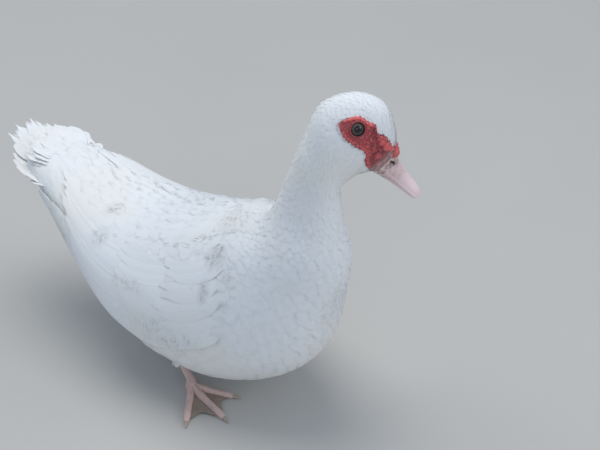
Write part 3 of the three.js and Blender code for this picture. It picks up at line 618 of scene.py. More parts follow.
def skin_piece():
    """One closed skin for head, neck, torso and tail root, inside the coat, with the feathered thighs."""
    t, a = np.meshgrid(np.linspace(0, T_END + COAT_PAST_END, SKIN_ROWS), around(SKIN_SIDES), indexing="ij")
    parts = [tube(BODY.above(t, a, wing_swell(t, a) - coat_depth(t) - SKIN_CLEARANCE))]
    down, a = np.meshgrid(np.linspace(THIGH_TOP - THIGH_BOTTOM, 0, 14), -around(32), indexing="ij")
    parts += [tube(thigh_surface(leg).point(down, a)) for leg in LEGS]
    points, faces = joined(parts)
    piece("skin", points, faces, "plumage", DOWN,
          stands_for=("head", "neck", "torso", "thigh_right", "thigh_left"))


# Small feathers. A template is a thin closed vane of points (s along, v across, e above) whose tip is
# frayed into loose barbs.
LAST_ROW = 0.97  # how far along a template its last full row is
BARB_FAN = 1.45  # the angle to each side over which the barbs at the tip fan out


def quill_width(s):
    """How wide a vane is along its quill, which is bare at its root."""
    return 0.35 + 0.65 * smooth(s / 0.5)


def vane_outline(s, blunt):
    tip = np.sqrt(np.clip(1 - np.clip((s - blunt) / (1.0 - blunt), 0, 1) ** 2, 0.01, 1))
    return quill_width(s) * tip


def feather_template(rows, barbs, blunt=0.5, thick=0.012, loose=0.10):
    """rows flat diamonds along the vane, split alike above and below, and thin spikes round its tip."""
    points, faces = [], []
    for s in np.linspace(0, LAST_ROW, rows) ** 0.9:
        w = vane_outline(s, blunt)
        points += [(s, -w, -thick), (s, 0, thick), (s, w, -thick), (s, 0, -3 * thick)]
    for i in range(rows - 1):
        for j in range(4):
            a, b = 4 * i + j, 4 * i + (j + 1) % 4
            faces += [(a, b, b + 4), (a, b + 4, a + 4)] if j < 2 else [(a, b, a + 4), (b, b + 4, a + 4)]
    last = 4 * (rows - 1)
    faces += [(0, 3, 2), (0, 2, 1), (last, last + 1, last + 2), (last, last + 2, last + 3)]
    for angle in np.linspace(-BARB_FAN, BARB_FAN, barbs) + rng.normal(0, 0.04, barbs):
        root_s = blunt + (LAST_ROW - blunt) * math.cos(angle)
        root_v = math.sin(angle) * LAST_ROW * min(1, quill_width(root_s) + 0.1)
        reach = rng.uniform(0.3, 1.5) * loose
        width = rng.uniform(0.05, 0.11)
        tip_s = root_s + reach * (0.6 + 0.4 * math.cos(angle))
        tip_v = root_v * (1 + 1.6 * reach) + rng.normal(0, 0.03)
        k = len(points)
        points += [(root_s - 0.10, root_v * 0.88 - width, 0.0), (root_s - 0.10, root_v * 0.88 + width, 0.0),
                   (root_s - 0.12, root_v * 0.8, -4 * thick), (tip_s, tip_v, rng.normal(0, 0.02))]
        faces += [(k, k + 1, k + 3), (k, k + 3, k + 2), (k + 1, k + 2, k + 3), (k, k + 2, k + 1)]
    return np.array(points, float), np.array(faces)


SHADE_TILT = 0.07  # how far a feather's shading leans from the body's own, at its sides and tip
BAKE_LENGTH = T_END * 1.1  # the length t that fills the bake map
BAKE_SPOT = 0.0015  # half the width of one feather's place in it


def bake_spot(t, a, s, v):
    """A feather's own small place in the bake map, by where its root is."""
    u = a % (2 * math.pi) / (2 * math.pi) + BAKE_SPOT * v
    return np.clip(np.stack([u, t / BAKE_LENGTH + BAKE_SPOT * (2 * s - 1)], -1), 0, 1).reshape(-1, 2)


def lay(surface, t, a, length, width, low, high, templates, turn=6.0, swell=None, cup=0.0):
    """Feathers rooted at (t, a), lying along the surface from their low roots to their high tips."""
    n = len(t)
    pick = rng.integers(0, len(templates), n)
    points = np.stack([templates[k][0] for k in pick])
    s, v, e = points[..., 0], points[..., 1], points[..., 2]
    length = (length * rng.uniform(0.86, 1.14, n))[:, None]
    width = (width * rng.uniform(0.9, 1.1, n))[:, None]
    angle = np.radians(rng.normal(0, turn, n))[:, None]
    step_t, step_a = (step[:, None] for step in surface.metric(t, a))
    x, y = s * length, v * width / 2
    t, a = t[:, None], a[:, None]
    tt = t + (x * np.cos(angle) - y * np.sin(angle)) / step_t
    aa = a + (x * np.sin(angle) + y * np.cos(angle)) / step_a
    low, high = (np.broadcast_to(level, (n,))[:, None] for level in (low, high))
    lift = rng.normal(0, 0.10, n)[:, None] * np.abs(high - low)
    height = mix(low, high, smooth(s)) + lift * s + e * width * 0.5 - cup * v * v
    if swell is not None:
        height = height + swell(tt, aa)
    d_t, d_a, normal = surface.frame(tt, aa)
    points = surface.point(tt, aa) + normal * height[..., None]
    lean = SHADE_TILT * (s[..., None] ** 2 * unit(d_t) + 0.7 * v[..., None] * unit(d_a))
    shade = unit(normal + lean + rng.normal(0, 0.02, (n, 1, 3))).reshape(-1, 3)
    faces = np.concatenate([templates[k][1] + i * points.shape[1] for i, k in enumerate(pick)])
    uv = np.stack([v * 0.5 + 0.5, s * length / 8 + np.abs(v) * 0.25 + rng.uniform(0, 9, n)[:, None]], -1)
    return points.reshape(-1, 3), faces, uv.reshape(-1, 2), bake_spot(t, a, s, v), shade


def corner_normals(points, faces, shade):
    """Soft shading on the faces that look the same way as it, and their own normal on rims and undersides."""
    a, b, c = (points[faces[:, k]] for k in range(3))
    flat = unit(np.cross(b - a, c - a))[:, None]
    soft = shade[faces]
    agrees = (soft * flat).sum(-1).min(-1) > 0.25
    return np.where(agrees[:, None, None], soft, flat).reshape(-1, 3)


def coat(name, laid, stands_for=()):
    """One coat piece, from what lay, vane_on_body and free_vane return."""
    points, faces = joined([part[:2] for part in laid])
    uv, bake, shade = (np.concatenate([part[k] for part in laid]) for k in (2, 3, 4))
    made = piece(name, points, faces, "plumage", uv=uv, bake=bake, stands_for=stands_for)
    made.data.normals_split_custom_set(corner_normals(points, faces, shade))


# How the body feathers grow: the station, a feather's length and width, and the spacing along and across.
PLAN = [
    ("bill_root", 3.2, 1.8, 1.25, 1.05),
    ("lores", 4.4, 2.4, 1.5, 1.3),
    ("eyes", 6.2, 3.2, 1.9, 1.7),
    ("occiput", 9.5, 4.8, 2.8, 2.4),
    ("nape", 11.5, 6.0, 3.3, 2.9),
    ("mid_neck", 15, 8.5, 4.2, 3.9),
    ("neck_root", 20, 12, 5.4, 5.2),
    ("breast", 27, 17, 6.8, 7.0),
    ("keel", 31, 20, 7.8, 8.2),
    ("rump", 36, 20, 8.0, 7.8),
    ("tail_root", 38, 17, 7.6, 6.8),
]
PLAN_T = np.array([T_OF[row[0]] for row in PLAN])
PLAN_SIZE = np.array([row[1:] for row in PLAN], float)


def plan(t):
    return [np.interp(t, PLAN_T, PLAN_SIZE[:, k]) for k in range(4)]


def roots(start, end):
    """Roots in staggered rows from t = start to end, spaced by the plan, with a little disorder."""
    ts, angles = [], []
    t = start
    odd = 0
    ring = np.linspace(0, 2 * math.pi, 181)
    while t < end:
        _, _, pitch, gap = plan(t)
        edge = body(t, ring)
        arc = np.concatenate([[0], np.cumsum(np.linalg.norm(np.diff(edge, axis=0), axis=1))])
        count = max(8, int(arc[-1] / gap))
        at = ((np.arange(count) + 0.5 * odd + rng.normal(0, 0.16, count)) / count) % 1.0
        angles.append(np.interp(at * arc[-1], arc, ring))
        ts.append(t + rng.normal(0, 0.16 * pitch, count))
        odd = 1 - odd
        t += pitch
    return np.concatenate(ts), np.concatenate(angles)


# The bare face, outlined from the eye as x, z, upper edge then lower, from behind the eye to the bill.
FACE_UPPER = np.array([(-15.3, 5.1), (-10.4, 7.5), (-3.9, 9.4), (3, 9.2), (9.4, 4.6),
                       (15.6, 0.9), (17.5, -6.7), (24.8, -11.9), (31.2, -24.1), (36, -29.5)])
FACE_LOWER = np.array([(-15.3, 4.7), (-13.9, -0.4), (-10.8, -6.6), (-6.6, -10.8), (-1.2, -15.7),
                       (4.7, -20), (7.8, -25.8), (7.7, -32.1), (10.5, -41.8), (18, -49)])


RIM_BULBS = 17  # bulbs along each rim of the face
FACE_REACH = 22  # from the middle of the bare face to its rim, about


def face_point(f, g, scallop=0.0):
    """A place of the bare face, f from behind the eye to the bill and g from its upper to its lower rim."""
    g = g + (2 * g - 1) * scallop * np.abs(np.sin(RIM_BULBS * math.pi * f))
    upper = [curve(FACE_UPPER[:, k], f) for k in (0, 1)]
    lower = [curve(FACE_LOWER[:, k], f) for k in (0, 1)]
    return mix(upper[0], lower[0], g), mix(upper[1], lower[1], g)


def on_face(t, a, margin=1.0):
    """Whether a place of the skin lies inside the bare face, made larger by the margin."""
    x, _, z = round_section(section(t), a)
    x, z = x - EYE_X, z - EYE_Z
    f = np.linspace(0, 1, 25)
    rim = np.concatenate([np.stack(face_point(f, 0), -1), np.stack(face_point(f[::-1], 1), -1)])
    centre = rim.mean(0)
    rim = centre + (rim - centre) * (1 + margin / FACE_REACH)
    inside = np.zeros(x.shape, bool)
    for (x0, z0), (x1, z1) in zip(rim, np.roll(rim, -1, 0)):
        crosses = (z0 > z) != (z1 > z)
        at = x0 + (z - z0) * (x1 - x0) / np.where(z1 == z0, 1e-9, z1 - z0)
        inside ^= crosses & (x < at)
    return inside


def body_coat():
    """The small feathers of head, neck and body, in pieces from front to back."""
    fine = [feather_template(4, 5, loose=0.16) for _ in range(8)]
    broad = [feather_template(6, 13) for _ in range(12)]
    bands = [
        ("coat_head", 1.2, T_OF["nape"], fine),
        ("coat_neck", T_OF["nape"], T_OF["shoulders"], broad),
        ("coat_breast", T_OF["shoulders"], T_OF["keel"], broad),
        ("coat_body", T_OF["keel"], T_OF["rump"], broad),
        ("coat_rump", T_OF["rump"], T_END - 8, broad),
    ]
    for name, start, end, templates in bands:
        t, a = roots(start, end)
        bare = on_face(t, a)
        t, a = t[~bare], a[~bare]
        length, width, _, _ = plan(t)
        belly = smooth((1.5 - np.abs(a - math.pi)) / 1.2)
        length = np.minimum(length * mix(1.0, 0.9, belly), np.maximum(T_END + COAT_PAST_END - t, 14))
        depth = coat_depth(t)
        coat(name, [lay(BODY, t, a, length, width, -0.5 * depth, 0.10 * depth, templates, turn=5.0,
                        swell=wing_swell)])


# Flight feathers, coverts and tail feathers: long vanes with a shaft, an uneven rim and a thin edge.
VANE_WIDTH = [0.4, 0.78, 0.98, 1.0, 0.97, 0.86, 0.34]
VANE_THICK = 0.3
SHAFT = 0.08  # half the shaft's width, as a share of half the vane's


def long_vane(rows, cols, ragged, seed):
    """Grids of s along and v across a long feather, with the notches of its worn tip."""
    draw = np.random.default_rng(seed)
    s = np.linspace(0, 1, rows)[:, None] ** 0.9
    v = np.linspace(-1, 1, cols)
    tip = 1 + (1 - np.abs(v)) * 0.02 + draw.uniform(-1, 1, cols) * ragged - 0.05 * v**2
    wobble = 1 + 0.03 * draw.normal(0, 1, (rows, 1))
    return s * tip, v * (curve(VANE_WIDTH, s) * wobble)


def both_faces(values):
    """A grid's values for the points above and again for the points below."""
    return np.tile(values.reshape(-1, values.shape[-1]), (2, 1))


def vane_uv(s, v, length, slant):
    """The vane's own map: the barbs' wave runs along its second value and slants off the shaft."""
    return both_faces(np.stack([v * 0.5 + 0.5, s * length + np.abs(v) * slant], -1))


def vane_on_body(side, root, tip, angles, half, heights, tilt, seed, ragged=0.03, rows=15, cols=9):
    """A long vane lying over the body, from root to tip given as profile x, at angles in degrees."""
    a0, a1 = np.radians(angles[0]), np.radians(angles[1])
    t0, t1 = float(track(root, a0)), float(track(tip, a1))
    s, v = long_vane(rows, cols, ragged, seed)
    t = mix(t0, t1, s)
    a = mix(a0, a1, s)
    _, step = BODY.metric(t, side * a)
    a = a + v * half / step
    height = mix(heights[0], heights[1], smooth(s)) + tilt * (v + 1) / 2 + 0.35 * bell(v, SHAFT) - 0.5 * v**2
    under_scapulars = mix(0.2, 1, smooth((np.degrees(a) - 26) / 18))
    height = height * smooth(s * 6 + 0.15) * under_scapulars + 0.4 - 1.8 * (1 - smooth(s * 8))
    swell = wing_swell(t, side * a) * 0.6
    d_t, d_a, normal = BODY.frame(t, side * a)
    upper = BODY.point(t, side * a) + normal * (height + swell)[..., None]
    points, faces = sheet_solid(upper, upper - normal * VANE_THICK)
    if side < 0:
        faces = faces[:, ::-1]
    lean = 0.05 * s[..., None] ** 2 * unit(d_t) + side * 0.09 * v[..., None] * unit(d_a)
    shade = unit(normal + lean + np.random.default_rng(seed).normal(0, 0.03, 3))
    spot = both_faces(bake_spot(t0, side * a0, s, v))
    return points, faces, vane_uv(s, v, 12, 0.9), spot, both_faces(shade)


# Tiers of the wing: how many, root x, tip x, root angle and tip angle from the top vane to the lowest,
# half width, height at root and tip, tilt.
WING_TIERS = {
    "primaries": (8, (-58, -66), (-176, -190), (78, 97), (76, 98), (8.5, 9), (2.0, 2.2), 1.8),
    "secondaries": (12, (-8, 6), (-172, -118), (34, 94), (32, 97), (10.5, 10), (2.8, 3.0), 1.5),
    "greater coverts": (12, (26, 42), (-70, -46), (36, 94), (32, 96), (10, 9.5), (2.6, 3.7), 1.2),
    "median coverts": (12, (46, 66), (-12, 2), (40, 92), (34, 95), (9.5, 9), (2.2, 4.0), 1.0),
}


def wing_vanes(side, name):
    laid = []
    for row, (count, root, tip, root_angle, tip_angle, half, height, tilt) in enumerate(WING_TIERS.values()):
        for k in range(count):
            f = k / (count - 1)
            jitter = rng.normal(0, 1, 4)
            laid.append(vane_on_body(
                side, mix(*root, f) + 2 * jitter[0], mix(*tip, f) + 4 * jitter[1],
                (mix(*root_angle, f) + jitter[2], mix(*tip_angle, f) + 1.2 * jitter[3]),
                mix(*half, f), height, tilt, seed=100 * row + k + (50 if side > 0 else 0)))
    coat(f"wing_vanes_{name}", laid, stands_for=(f"wing_{name}",))


# Rows of lesser coverts over the wing's front: x and angle of the top one's root, x and angle of the
# lowest one's, length, width, height of the tips.
COVERT_ROWS = [
    ((84, 46), (94, 93), 24, 15, 0.7),
    ((75, 43), (86, 94), 26, 16, 1.5),
    ((64, 41), (78, 94), 28, 17, 2.2),
    ((52, 40), (68, 95), 30, 18, 2.7),
    ((38, 38), (56, 95), 32, 18, 2.8),
]
COVERTS_IN_ROW = 13
COVERT_BACK = 12  # their roots lie this much further back
# Scapulars over the wing's upper edge and flank feathers under its lower one: x of each row, the angles
# in a row, length, width.
SCAPULARS = (np.linspace(52, -112, 14), np.linspace(4, 42, 6), 40, 20)
FLANK = (np.linspace(70, -80, 11), np.linspace(96, 112, 3), 30, 19)


def wing_cover(side, name):
    """The small overlapping coverts of the wing's front, the scapulars over it and the flank below."""
    broad = [feather_template(7, 13, blunt=0.6, loose=0.06) for _ in range(8)]
    laid = []

    def add_row(x, angles, length, width, low, high, turn, cup):
        a = side * np.radians(angles)
        t = track(x, a)
        laid.append(lay(BODY, t, a, length, width, low, high, broad, turn=turn, swell=wing_swell, cup=cup))

    for (top_x, top), (low_x, low), length, width, high in COVERT_ROWS:
        f = np.linspace(0, 1, COVERTS_IN_ROW) + rng.normal(0, 0.02, COVERTS_IN_ROW)
        add_row(mix(top_x, low_x, f) - COVERT_BACK, mix(top, low, f), length, width, -1.4, high, 4.0, 1.0)
    rows, spread, length, width = SCAPULARS
    for x in rows:
        jitter = rng.normal(0, 1.2, len(spread))
        add_row(x, spread + jitter, length, width, -1.6, mix(0.7, 3.2, smooth(spread / 36)), 3.0, 1.1)
    rows, spread, length, width = FLANK
    for x in rows:
        add_row(x, spread + rng.normal(0, 1.5, len(spread)), length, width, -1.4, 1.5, 7.0, 1.0)
    coat(f"wing_coverts_{name}", laid)


# The tail, as in the solids. Tips from the middle feather outwards.
TAIL_ROOT_X = -199
TAIL_TIP_X = [-268, -266, -261, -254, -245, -235, -224, -211, -199]
TAIL_TIP_Y = [4, 12, 20, 28, 34, 39, 43, 46, 47]
TAIL_TURN = 0.14  # how far it swings to her left for each millimetre of its length
TAIL_MIDDLE_Z = 156  # of the feathers' roots
TAIL_BAND = 0.93  # its place in the bake map
# Coverts over and under the tail: z of root and tip, each in the middle and how it changes to the edge,
# x of the tip likewise, spread of the tips, how many, roll of the outermost, half width.
TAIL_COVERTS = [
    ((170, -7), (177, -12), (-238, 14), 34, 13, 12.0, 12),
    ((172, -6), (178, -10), (-226, 10), 30, 13, 12.0, 11),
    ((150, 6), (152, 5), (-244, 20), 36, 13, -8.0, 11),
    ((146, 8), (146, 6), (-230, 18), 34, 12, -8.0, 11),
]
COVERT_ROOT_X, COVERT_ROOT_Y = -196, 17


def free_vane(root, tip, half, bow, roll, seed, ragged=0.07, rows=13, cols=9):
    """A long vane in the open air, from root to tip, its middle bowed upwards."""
    root, tip = np.asarray(root, float), np.asarray(tip, float)
    run = tip - root
    ahead = unit(run)
    across = unit(np.cross(ahead, (0, 0, 1)))
    up = np.cross(across, ahead)
    across, up = across * math.cos(roll) + up * math.sin(roll), up * math.cos(roll) - across * math.sin(roll)
    s, v = long_vane(rows, cols, ragged, seed)
    rise = bow * np.sin(math.pi * np.clip(s, 0, 1)) + 0.3 * bell(v, SHAFT) - 0.8 * v**2
    upper = root + s[..., None] * run + v[..., None] * half * across + rise[..., None] * up
    points, faces = sheet_solid(upper, upper - 0.35 * up)
    a = math.atan2(root[1], root[2] - TAIL_MIDDLE_Z)
    spot = both_faces(bake_spot(TAIL_BAND * BAKE_LENGTH, a, s, v))
    tilt = np.random.default_rng(seed).normal(0, 0.05, 3)
    over = unit(up + 0.25 * v[..., None] * across + tilt).reshape(-1, 3)
    return points, faces, vane_uv(s, v, 9, 0.8), spot, np.concatenate([over, -over])


def tail():
    """The fan of tail feathers, its two halves overlapping, and the coverts over and under it."""
    laid = []
    for k, (tip_x, tip_y) in enumerate(zip(TAIL_TIP_X, TAIL_TIP_Y)):
        f = k / (len(TAIL_TIP_X) - 1)
        for side in (-1, 1):
            step = 0.7 if side > 0 else 0
            tip = (tip_x + rng.normal(0, 3), side * tip_y + TAIL_TURN * (TAIL_ROOT_X - tip_x),
                   mix(171, 156, f) - step + rng.normal(0, 1.2))
            root = (TAIL_ROOT_X, side * mix(1.5, 17, f), mix(158, 147, f) - step)
            laid.append(free_vane(root, tip, 9.5 + 0.5 * k, -1.5, side * 0.02, seed=900 + 2 * k + side,
                                  ragged=0.11 if k < 3 else 0.025))
    for row, (root_z, tip_z, tip_x, spread, count, roll, half) in enumerate(TAIL_COVERTS):
        for k in range(count):
            f = 2 * k / (count - 1) - 1
            root = (COVERT_ROOT_X, f * COVERT_ROOT_Y, root_z[0] + root_z[1] * f * f)
            tip = (tip_x[0] + tip_x[1] * f * f + rng.normal(0, 4),
                   f * spread + TAIL_TURN * (TAIL_ROOT_X - tip_x[0]) + rng.normal(0, 1.5),
                   tip_z[0] + tip_z[1] * f * f + rng.normal(0, 1))
            laid.append(free_vane(root, tip, half, 1.0, math.radians(f * roll), seed=700 + 20 * row + k))
    coat("tail_feathers", laid, stands_for=("tail",))


# Head.
def bumps(x, z, bulbs):
    """The height over (x, z) of round bulbs that run into one another, each an x, z, radius and rise."""
    height = np.zeros(x.shape)
    for bulb_x, bulb_z, radius, rise in bulbs:
        d = np.hypot(x - bulb_x, z - bulb_z) / radius
        height = np.maximum(height, rise * np.sqrt(np.clip(1 - d * d, 0, 1)))
    return height


FACE_RED_END = 0.83  # past this share of its length the face is mottled mauve, like the bill's root
FACE_ROWS, FACE_COLS = 190, 120
FACE_BULBS = 210
UPPER_SHARE, RIM_SHARE = 0.36, 0.62  # shares of them that crowd the upper rim, and both rims together
LIDS = 7.9  # small bulbs keep this far from the eye's middle, and the even row nearly as far
BRISTLES = 34  # dark specks along the upper rim
# Swollen lobes beside the knob: x and z from the eye, radius, rise.
LOBES = np.array([(26, -20, 4.6, 2.2), (30.5, -23.5, 4.0, 2.4), (21, -15, 3.2, 1.5), (17.5, -28, 3.2, 1.1)])


def face_bulbs(draw):
    """Small bulbs crowding the rims and scattered over the lores, then an even row along each rim."""
    n = FACE_BULBS
    where = draw.uniform(0, 1, n)
    by_rim = where < RIM_SHARE
    f = np.where(by_rim, draw.uniform(0.12, 0.86, n), draw.uniform(0.45, 0.9, n))
    rims = [draw.normal(0.045, 0.03, n), draw.normal(0.94, 0.03, n)]
    g = np.select([where < UPPER_SHARE, by_rim], rims, draw.uniform(0.1, 0.9, n))
    x, z = face_point(f, np.clip(g, 0.03, 0.97))
    radius = draw.uniform(0.75, 1.45, n) * np.where(where < UPPER_SHARE, 1.2, 0.95) * mix(0.8, 1.15, f)
    small = np.stack([x, z, radius, radius * draw.uniform(0.5, 0.8, n)], -1)
    f = np.tile((np.arange(RIM_BULBS) + 0.5) / RIM_BULBS, 2) + draw.normal(0, 0.012, 2 * RIM_BULBS)
    x, z = face_point(f, np.repeat([0.05, 0.95], RIM_BULBS))
    even = np.stack([x, z, draw.uniform(1.2, 2.1, 2 * RIM_BULBS), np.repeat([1.4, 0.9], RIM_BULBS)], -1)
    return np.concatenate([small[np.hypot(*small[:, :2].T) > LIDS], even[np.hypot(x, z) > LIDS - 0.9]])


def face_piece(side, name):
    """The bare red face: a thin pad with bulbs along its rims and lores, folds and lids round the eye."""
    draw = np.random.default_rng(21)
    f, g = np.meshgrid(np.linspace(0, 1, FACE_ROWS), np.linspace(0, 1, FACE_COLS), indexing="ij")
    x, z = face_point(np.maximum(f, 0.01), g, 0.05)
    t, a = place_over(EYE_X + x, EYE_Z + z, side, 0.05, T_OF["nape"])
    lobes = bumps(x, z, LOBES)
    bulbs = np.maximum(bumps(x, z, face_bulbs(draw)), lobes)
    rim = np.clip(np.minimum(np.minimum(g, 1 - g) * 9, f * 12), 0, 1)
    front = smooth((f - FACE_RED_END) / 0.12)
    pad = mix(-0.6, 1.25, np.sqrt(rim)) - 0.5 * front
    d = np.hypot(x, z)
    folds = 0.14 * np.sin(d * 3.2 + 0.8 * np.sin(3 * np.arctan2(z, x))) * bell(d - 8.2, 2.2)
    lid = 1.25 * bell(d - 6.3, 0.8)
    height = pad + bulbs * smooth(rim * 1.6) * (1 - 0.8 * front) + folds + lid
    opening = mix(-2.6, height, smooth((d - EYE_OPENING + 0.55) / 0.85))
    height = np.where(d < EYE_OPENING + 0.3, opening, height)
    height = height + 0.05 * draw.normal(0, 1, height.shape) * (d > 6)
    points, faces = sheet_solid(BODY.above(t, a, height), BODY.above(t, a, np.full(t.shape, -3.0)))
    if side < 0:
        faces = faces[:, ::-1]
    ripple = 0.12 * np.sin(x * 1.7) * np.sin(z * 1.9)
    # rise: painted highlight where the bulbs and folds stand up and painted shade where the folds sink, a
    # little darker towards the bill
    rise = np.clip(0.32 + bulbs * 0.62 + folds * 1.5 + ripple - 0.28 * smooth((x - 6) / 10), 0, 1)
    spots = face_point(mix(0.55, 0.86, draw.uniform(0, 1, BRISTLES)),
                       np.clip(draw.normal(0.05, 0.06, BRISTLES), 0.01, 0.3))
    bristles = bumps(x, z, [(spot_x, spot_z, 0.62, 1.0) for spot_x, spot_z in zip(*spots)])
    dark = bell(d - 5.6, 0.4) + 0.8 * (d < 5.4) + 0.75 * smooth(bristles * 1.5)
    front = front * (1 - smooth(lobes / 1.6)) * smooth(g * 4)
    values = {"rise": rise, "dark": np.clip(dark, 0, 1), "pale": front}
    piece(f"face_{name}", points, faces, "face_skin", stands_for=(f"face_skin_{name}",),
          values={key: np.tile(item.ravel(), 2) for key, item in values.items()})


def ball(rows, cols):
    """Points of a ball of radius 1, from its upper pole down, and its quads."""
    down, turn = np.meshgrid(np.linspace(0, math.pi, rows), around(cols), indexing="ij")
    points = np.stack([np.sin(down) * np.cos(turn), np.sin(down) * np.sin(turn), np.cos(down)], -1)
    return points.reshape(-1, 3), grid_faces(rows, cols, wrap=True)


def eye_piece(side, name):
    """The eyeball with its bulging cornea, looking straight out of the face."""
    centre, normal = eye_place(side)
    across = unit(np.cross(normal, (0, 0, 1)))
    up = np.cross(across, normal)
    points, faces = ball(33, 48)
    x, y, z = points.T
    gaze = np.hypot(x, y) * (z > 0) + (z <= 0)
    points = points * (1 + 0.05 * bell(1 - z, 0.12))[:, None] * EYE_BALL
    points = centre + points[:, :1] * across + points[:, 1:2] * up + points[:, 2:] * normal
    piece(f"eyeball_{name}", points, faces, "eye", values={"gaze": gaze}, stands_for=(f"eye_{name}",))


# The bill, in its own frame: x along it from its root, z up from its middle line.
BILL_LENGTH = 53
JAW_LENGTH = 50
CULMEN = [11, 8, 4.6, 2, 0, -1.8, -5]
TOMIUM = [-11, -10, -9.4, -9.2, -9.2, -9.6, -10.4]
BILL_HALF = [10, 9.2, 8.7, 9, 9.8, 9.4, 4.2]
JAW_KEEL = [-16, -15, -14, -13.4, -13, -12.6, -12.4]
MOUTH_LINE = 0.5  # the gap between upper bill and jaw
BILL_NAIL, BILL_HOOK = 0.9, 1.56  # how far the nail stands up, and how far the tip turns down
NOSTRIL_X, NOSTRIL_Z, NOSTRIL_LONG, NOSTRIL_HIGH, NOSTRIL_DEPTH = 6.6, 2.4, 3.4, 1.5, 2.0
# The knob's bulbs: x, y, z and radius.
KNOB = [(1.6, 0, 11.4, 4.0), (0.2, -6.4, 11.4, 4.3), (0.2, 6.4, 11.4, 4.3), (-3.0, 0, 11.0, 3.2)]


def bill_axes():
    """The bill's origin and its three axes, from the skin's first section."""
    back, front = body(0, 0.0), body(0, math.pi)
    left, right = body(0, math.pi / 2), body(0, -math.pi / 2)
    ahead = unit(np.cross(back - front, left - right))
    if np.dot(ahead, body(0, 0.0) - body(3, 0.0)) < 0:
        ahead = -ahead
    pitch = math.asin(-ahead[2])
    turn = math.atan2(ahead[1], ahead[0])
    x = np.array([math.cos(pitch) * math.cos(turn), math.cos(pitch) * math.sin(turn), -math.sin(pitch)])
    y = np.array([-math.sin(turn), math.cos(turn), 0])
    return (back + front) / 2, x, y, np.cross(x, y)


def from_bill(points):
    origin, x, y, z = bill_axes()
    points = np.asarray(points, float)
    return origin + points[..., :1] * x + points[..., 1:2] * y + points[..., 2:3] * z


BILL_ROWS, BILL_SIDES = 90, 64
BILL_TURN = around(BILL_SIDES)[None, :]


def round_tip(g, start, run):
    """The share of the width that is left at g, past the start of the bill's round tip."""
    return np.sqrt(np.clip(1 - np.clip((g - start) / run, 0, 1) ** 2, 0.03, 1))


def bill_part(name, node, x, y, z, along, dark):
    """A part of the bill from its rings, with how far along the bill each point is and how dark it is
    painted, for the shade in the nostrils.
    """
    points, faces = tube(from_bill(np.stack(np.broadcast_arrays(x, y, z), -1)))
    values = {
        "along": np.concatenate([np.zeros(BILL_SIDES), np.repeat(along, BILL_SIDES), np.ones(BILL_SIDES)]),
        "dark": np.pad(dark.ravel(), BILL_SIDES),
    }
    piece(name, points, faces[:, ::-1], "bill", values=values, stands_for=(node,))


def bill_top():
    """The upper bill: an arch on its cutting edge, with a lip, a groove, nostrils and the nail at its tip."""
    g = 1 - (1 - np.linspace(0, 1, BILL_ROWS)[:, None]) ** 1.3
    x = BILL_LENGTH * g
    floor = curve(TOMIUM, g)
    arch = curve(CULMEN, g) - floor
    tip = round_tip(g, 0.93, 0.075)
    top = np.sin(BILL_TURN) > 0
    level = np.abs(np.sin(BILL_TURN))
    y = curve(BILL_HALF, g) * tip * signed_power(np.cos(BILL_TURN), 0.85)
    z = floor + np.where(top, arch * level**0.9 * mix(0.75, 1, tip), -0.2 * level)
    y = y + (0.5 * bell(z - floor - 0.9, 0.8) - 0.35 * bell(z - floor - 2.6, 0.7)) * np.sign(y)
    dent = np.hypot((x - NOSTRIL_X) / NOSTRIL_LONG, (z - NOSTRIL_Z) / NOSTRIL_HIGH)
    y = y - np.sign(y) * NOSTRIL_DEPTH * smooth((1.08 - dent) / 0.3) * (np.abs(y) > 2)
    y = y + np.sign(y) * 0.45 * bell(dent - 1.25, 0.2)
    z = z + BILL_NAIL * bell(g - 0.97, 0.05) * bell(y, 3.4) * top
    z = z - BILL_HOOK * smooth((g - 0.9) / 0.1) * bell(y, 4.2)
    # The nostril dents' dark value is painted shade inside them.
    bill_part("bill_top", "bill_upper", x, y, z, g, smooth((1.12 - dent) / 0.3))


def bill_jaw():
    """The lower bill, a keel under the mouth line."""
    g = np.linspace(0, 1, BILL_ROWS)[:, None]
    x = JAW_LENGTH * g
    along = x / BILL_LENGTH
    half = (curve(BILL_HALF, along) - 0.9) * round_tip(g, 0.92, 0.085)
    top = curve(TOMIUM, along) - MOUTH_LINE
    keel = np.minimum(curve(JAW_KEEL, along), top - 1.2)
    level = np.abs(np.sin(BILL_TURN))
    y = half * signed_power(np.cos(BILL_TURN), 0.8)
    z = np.where(np.sin(BILL_TURN) < 0, top - (top - keel) * level**0.8, top + 0.1 * level)
    bill_part("bill_jaw", "bill_lower", x, y, z, along, 0 * y)


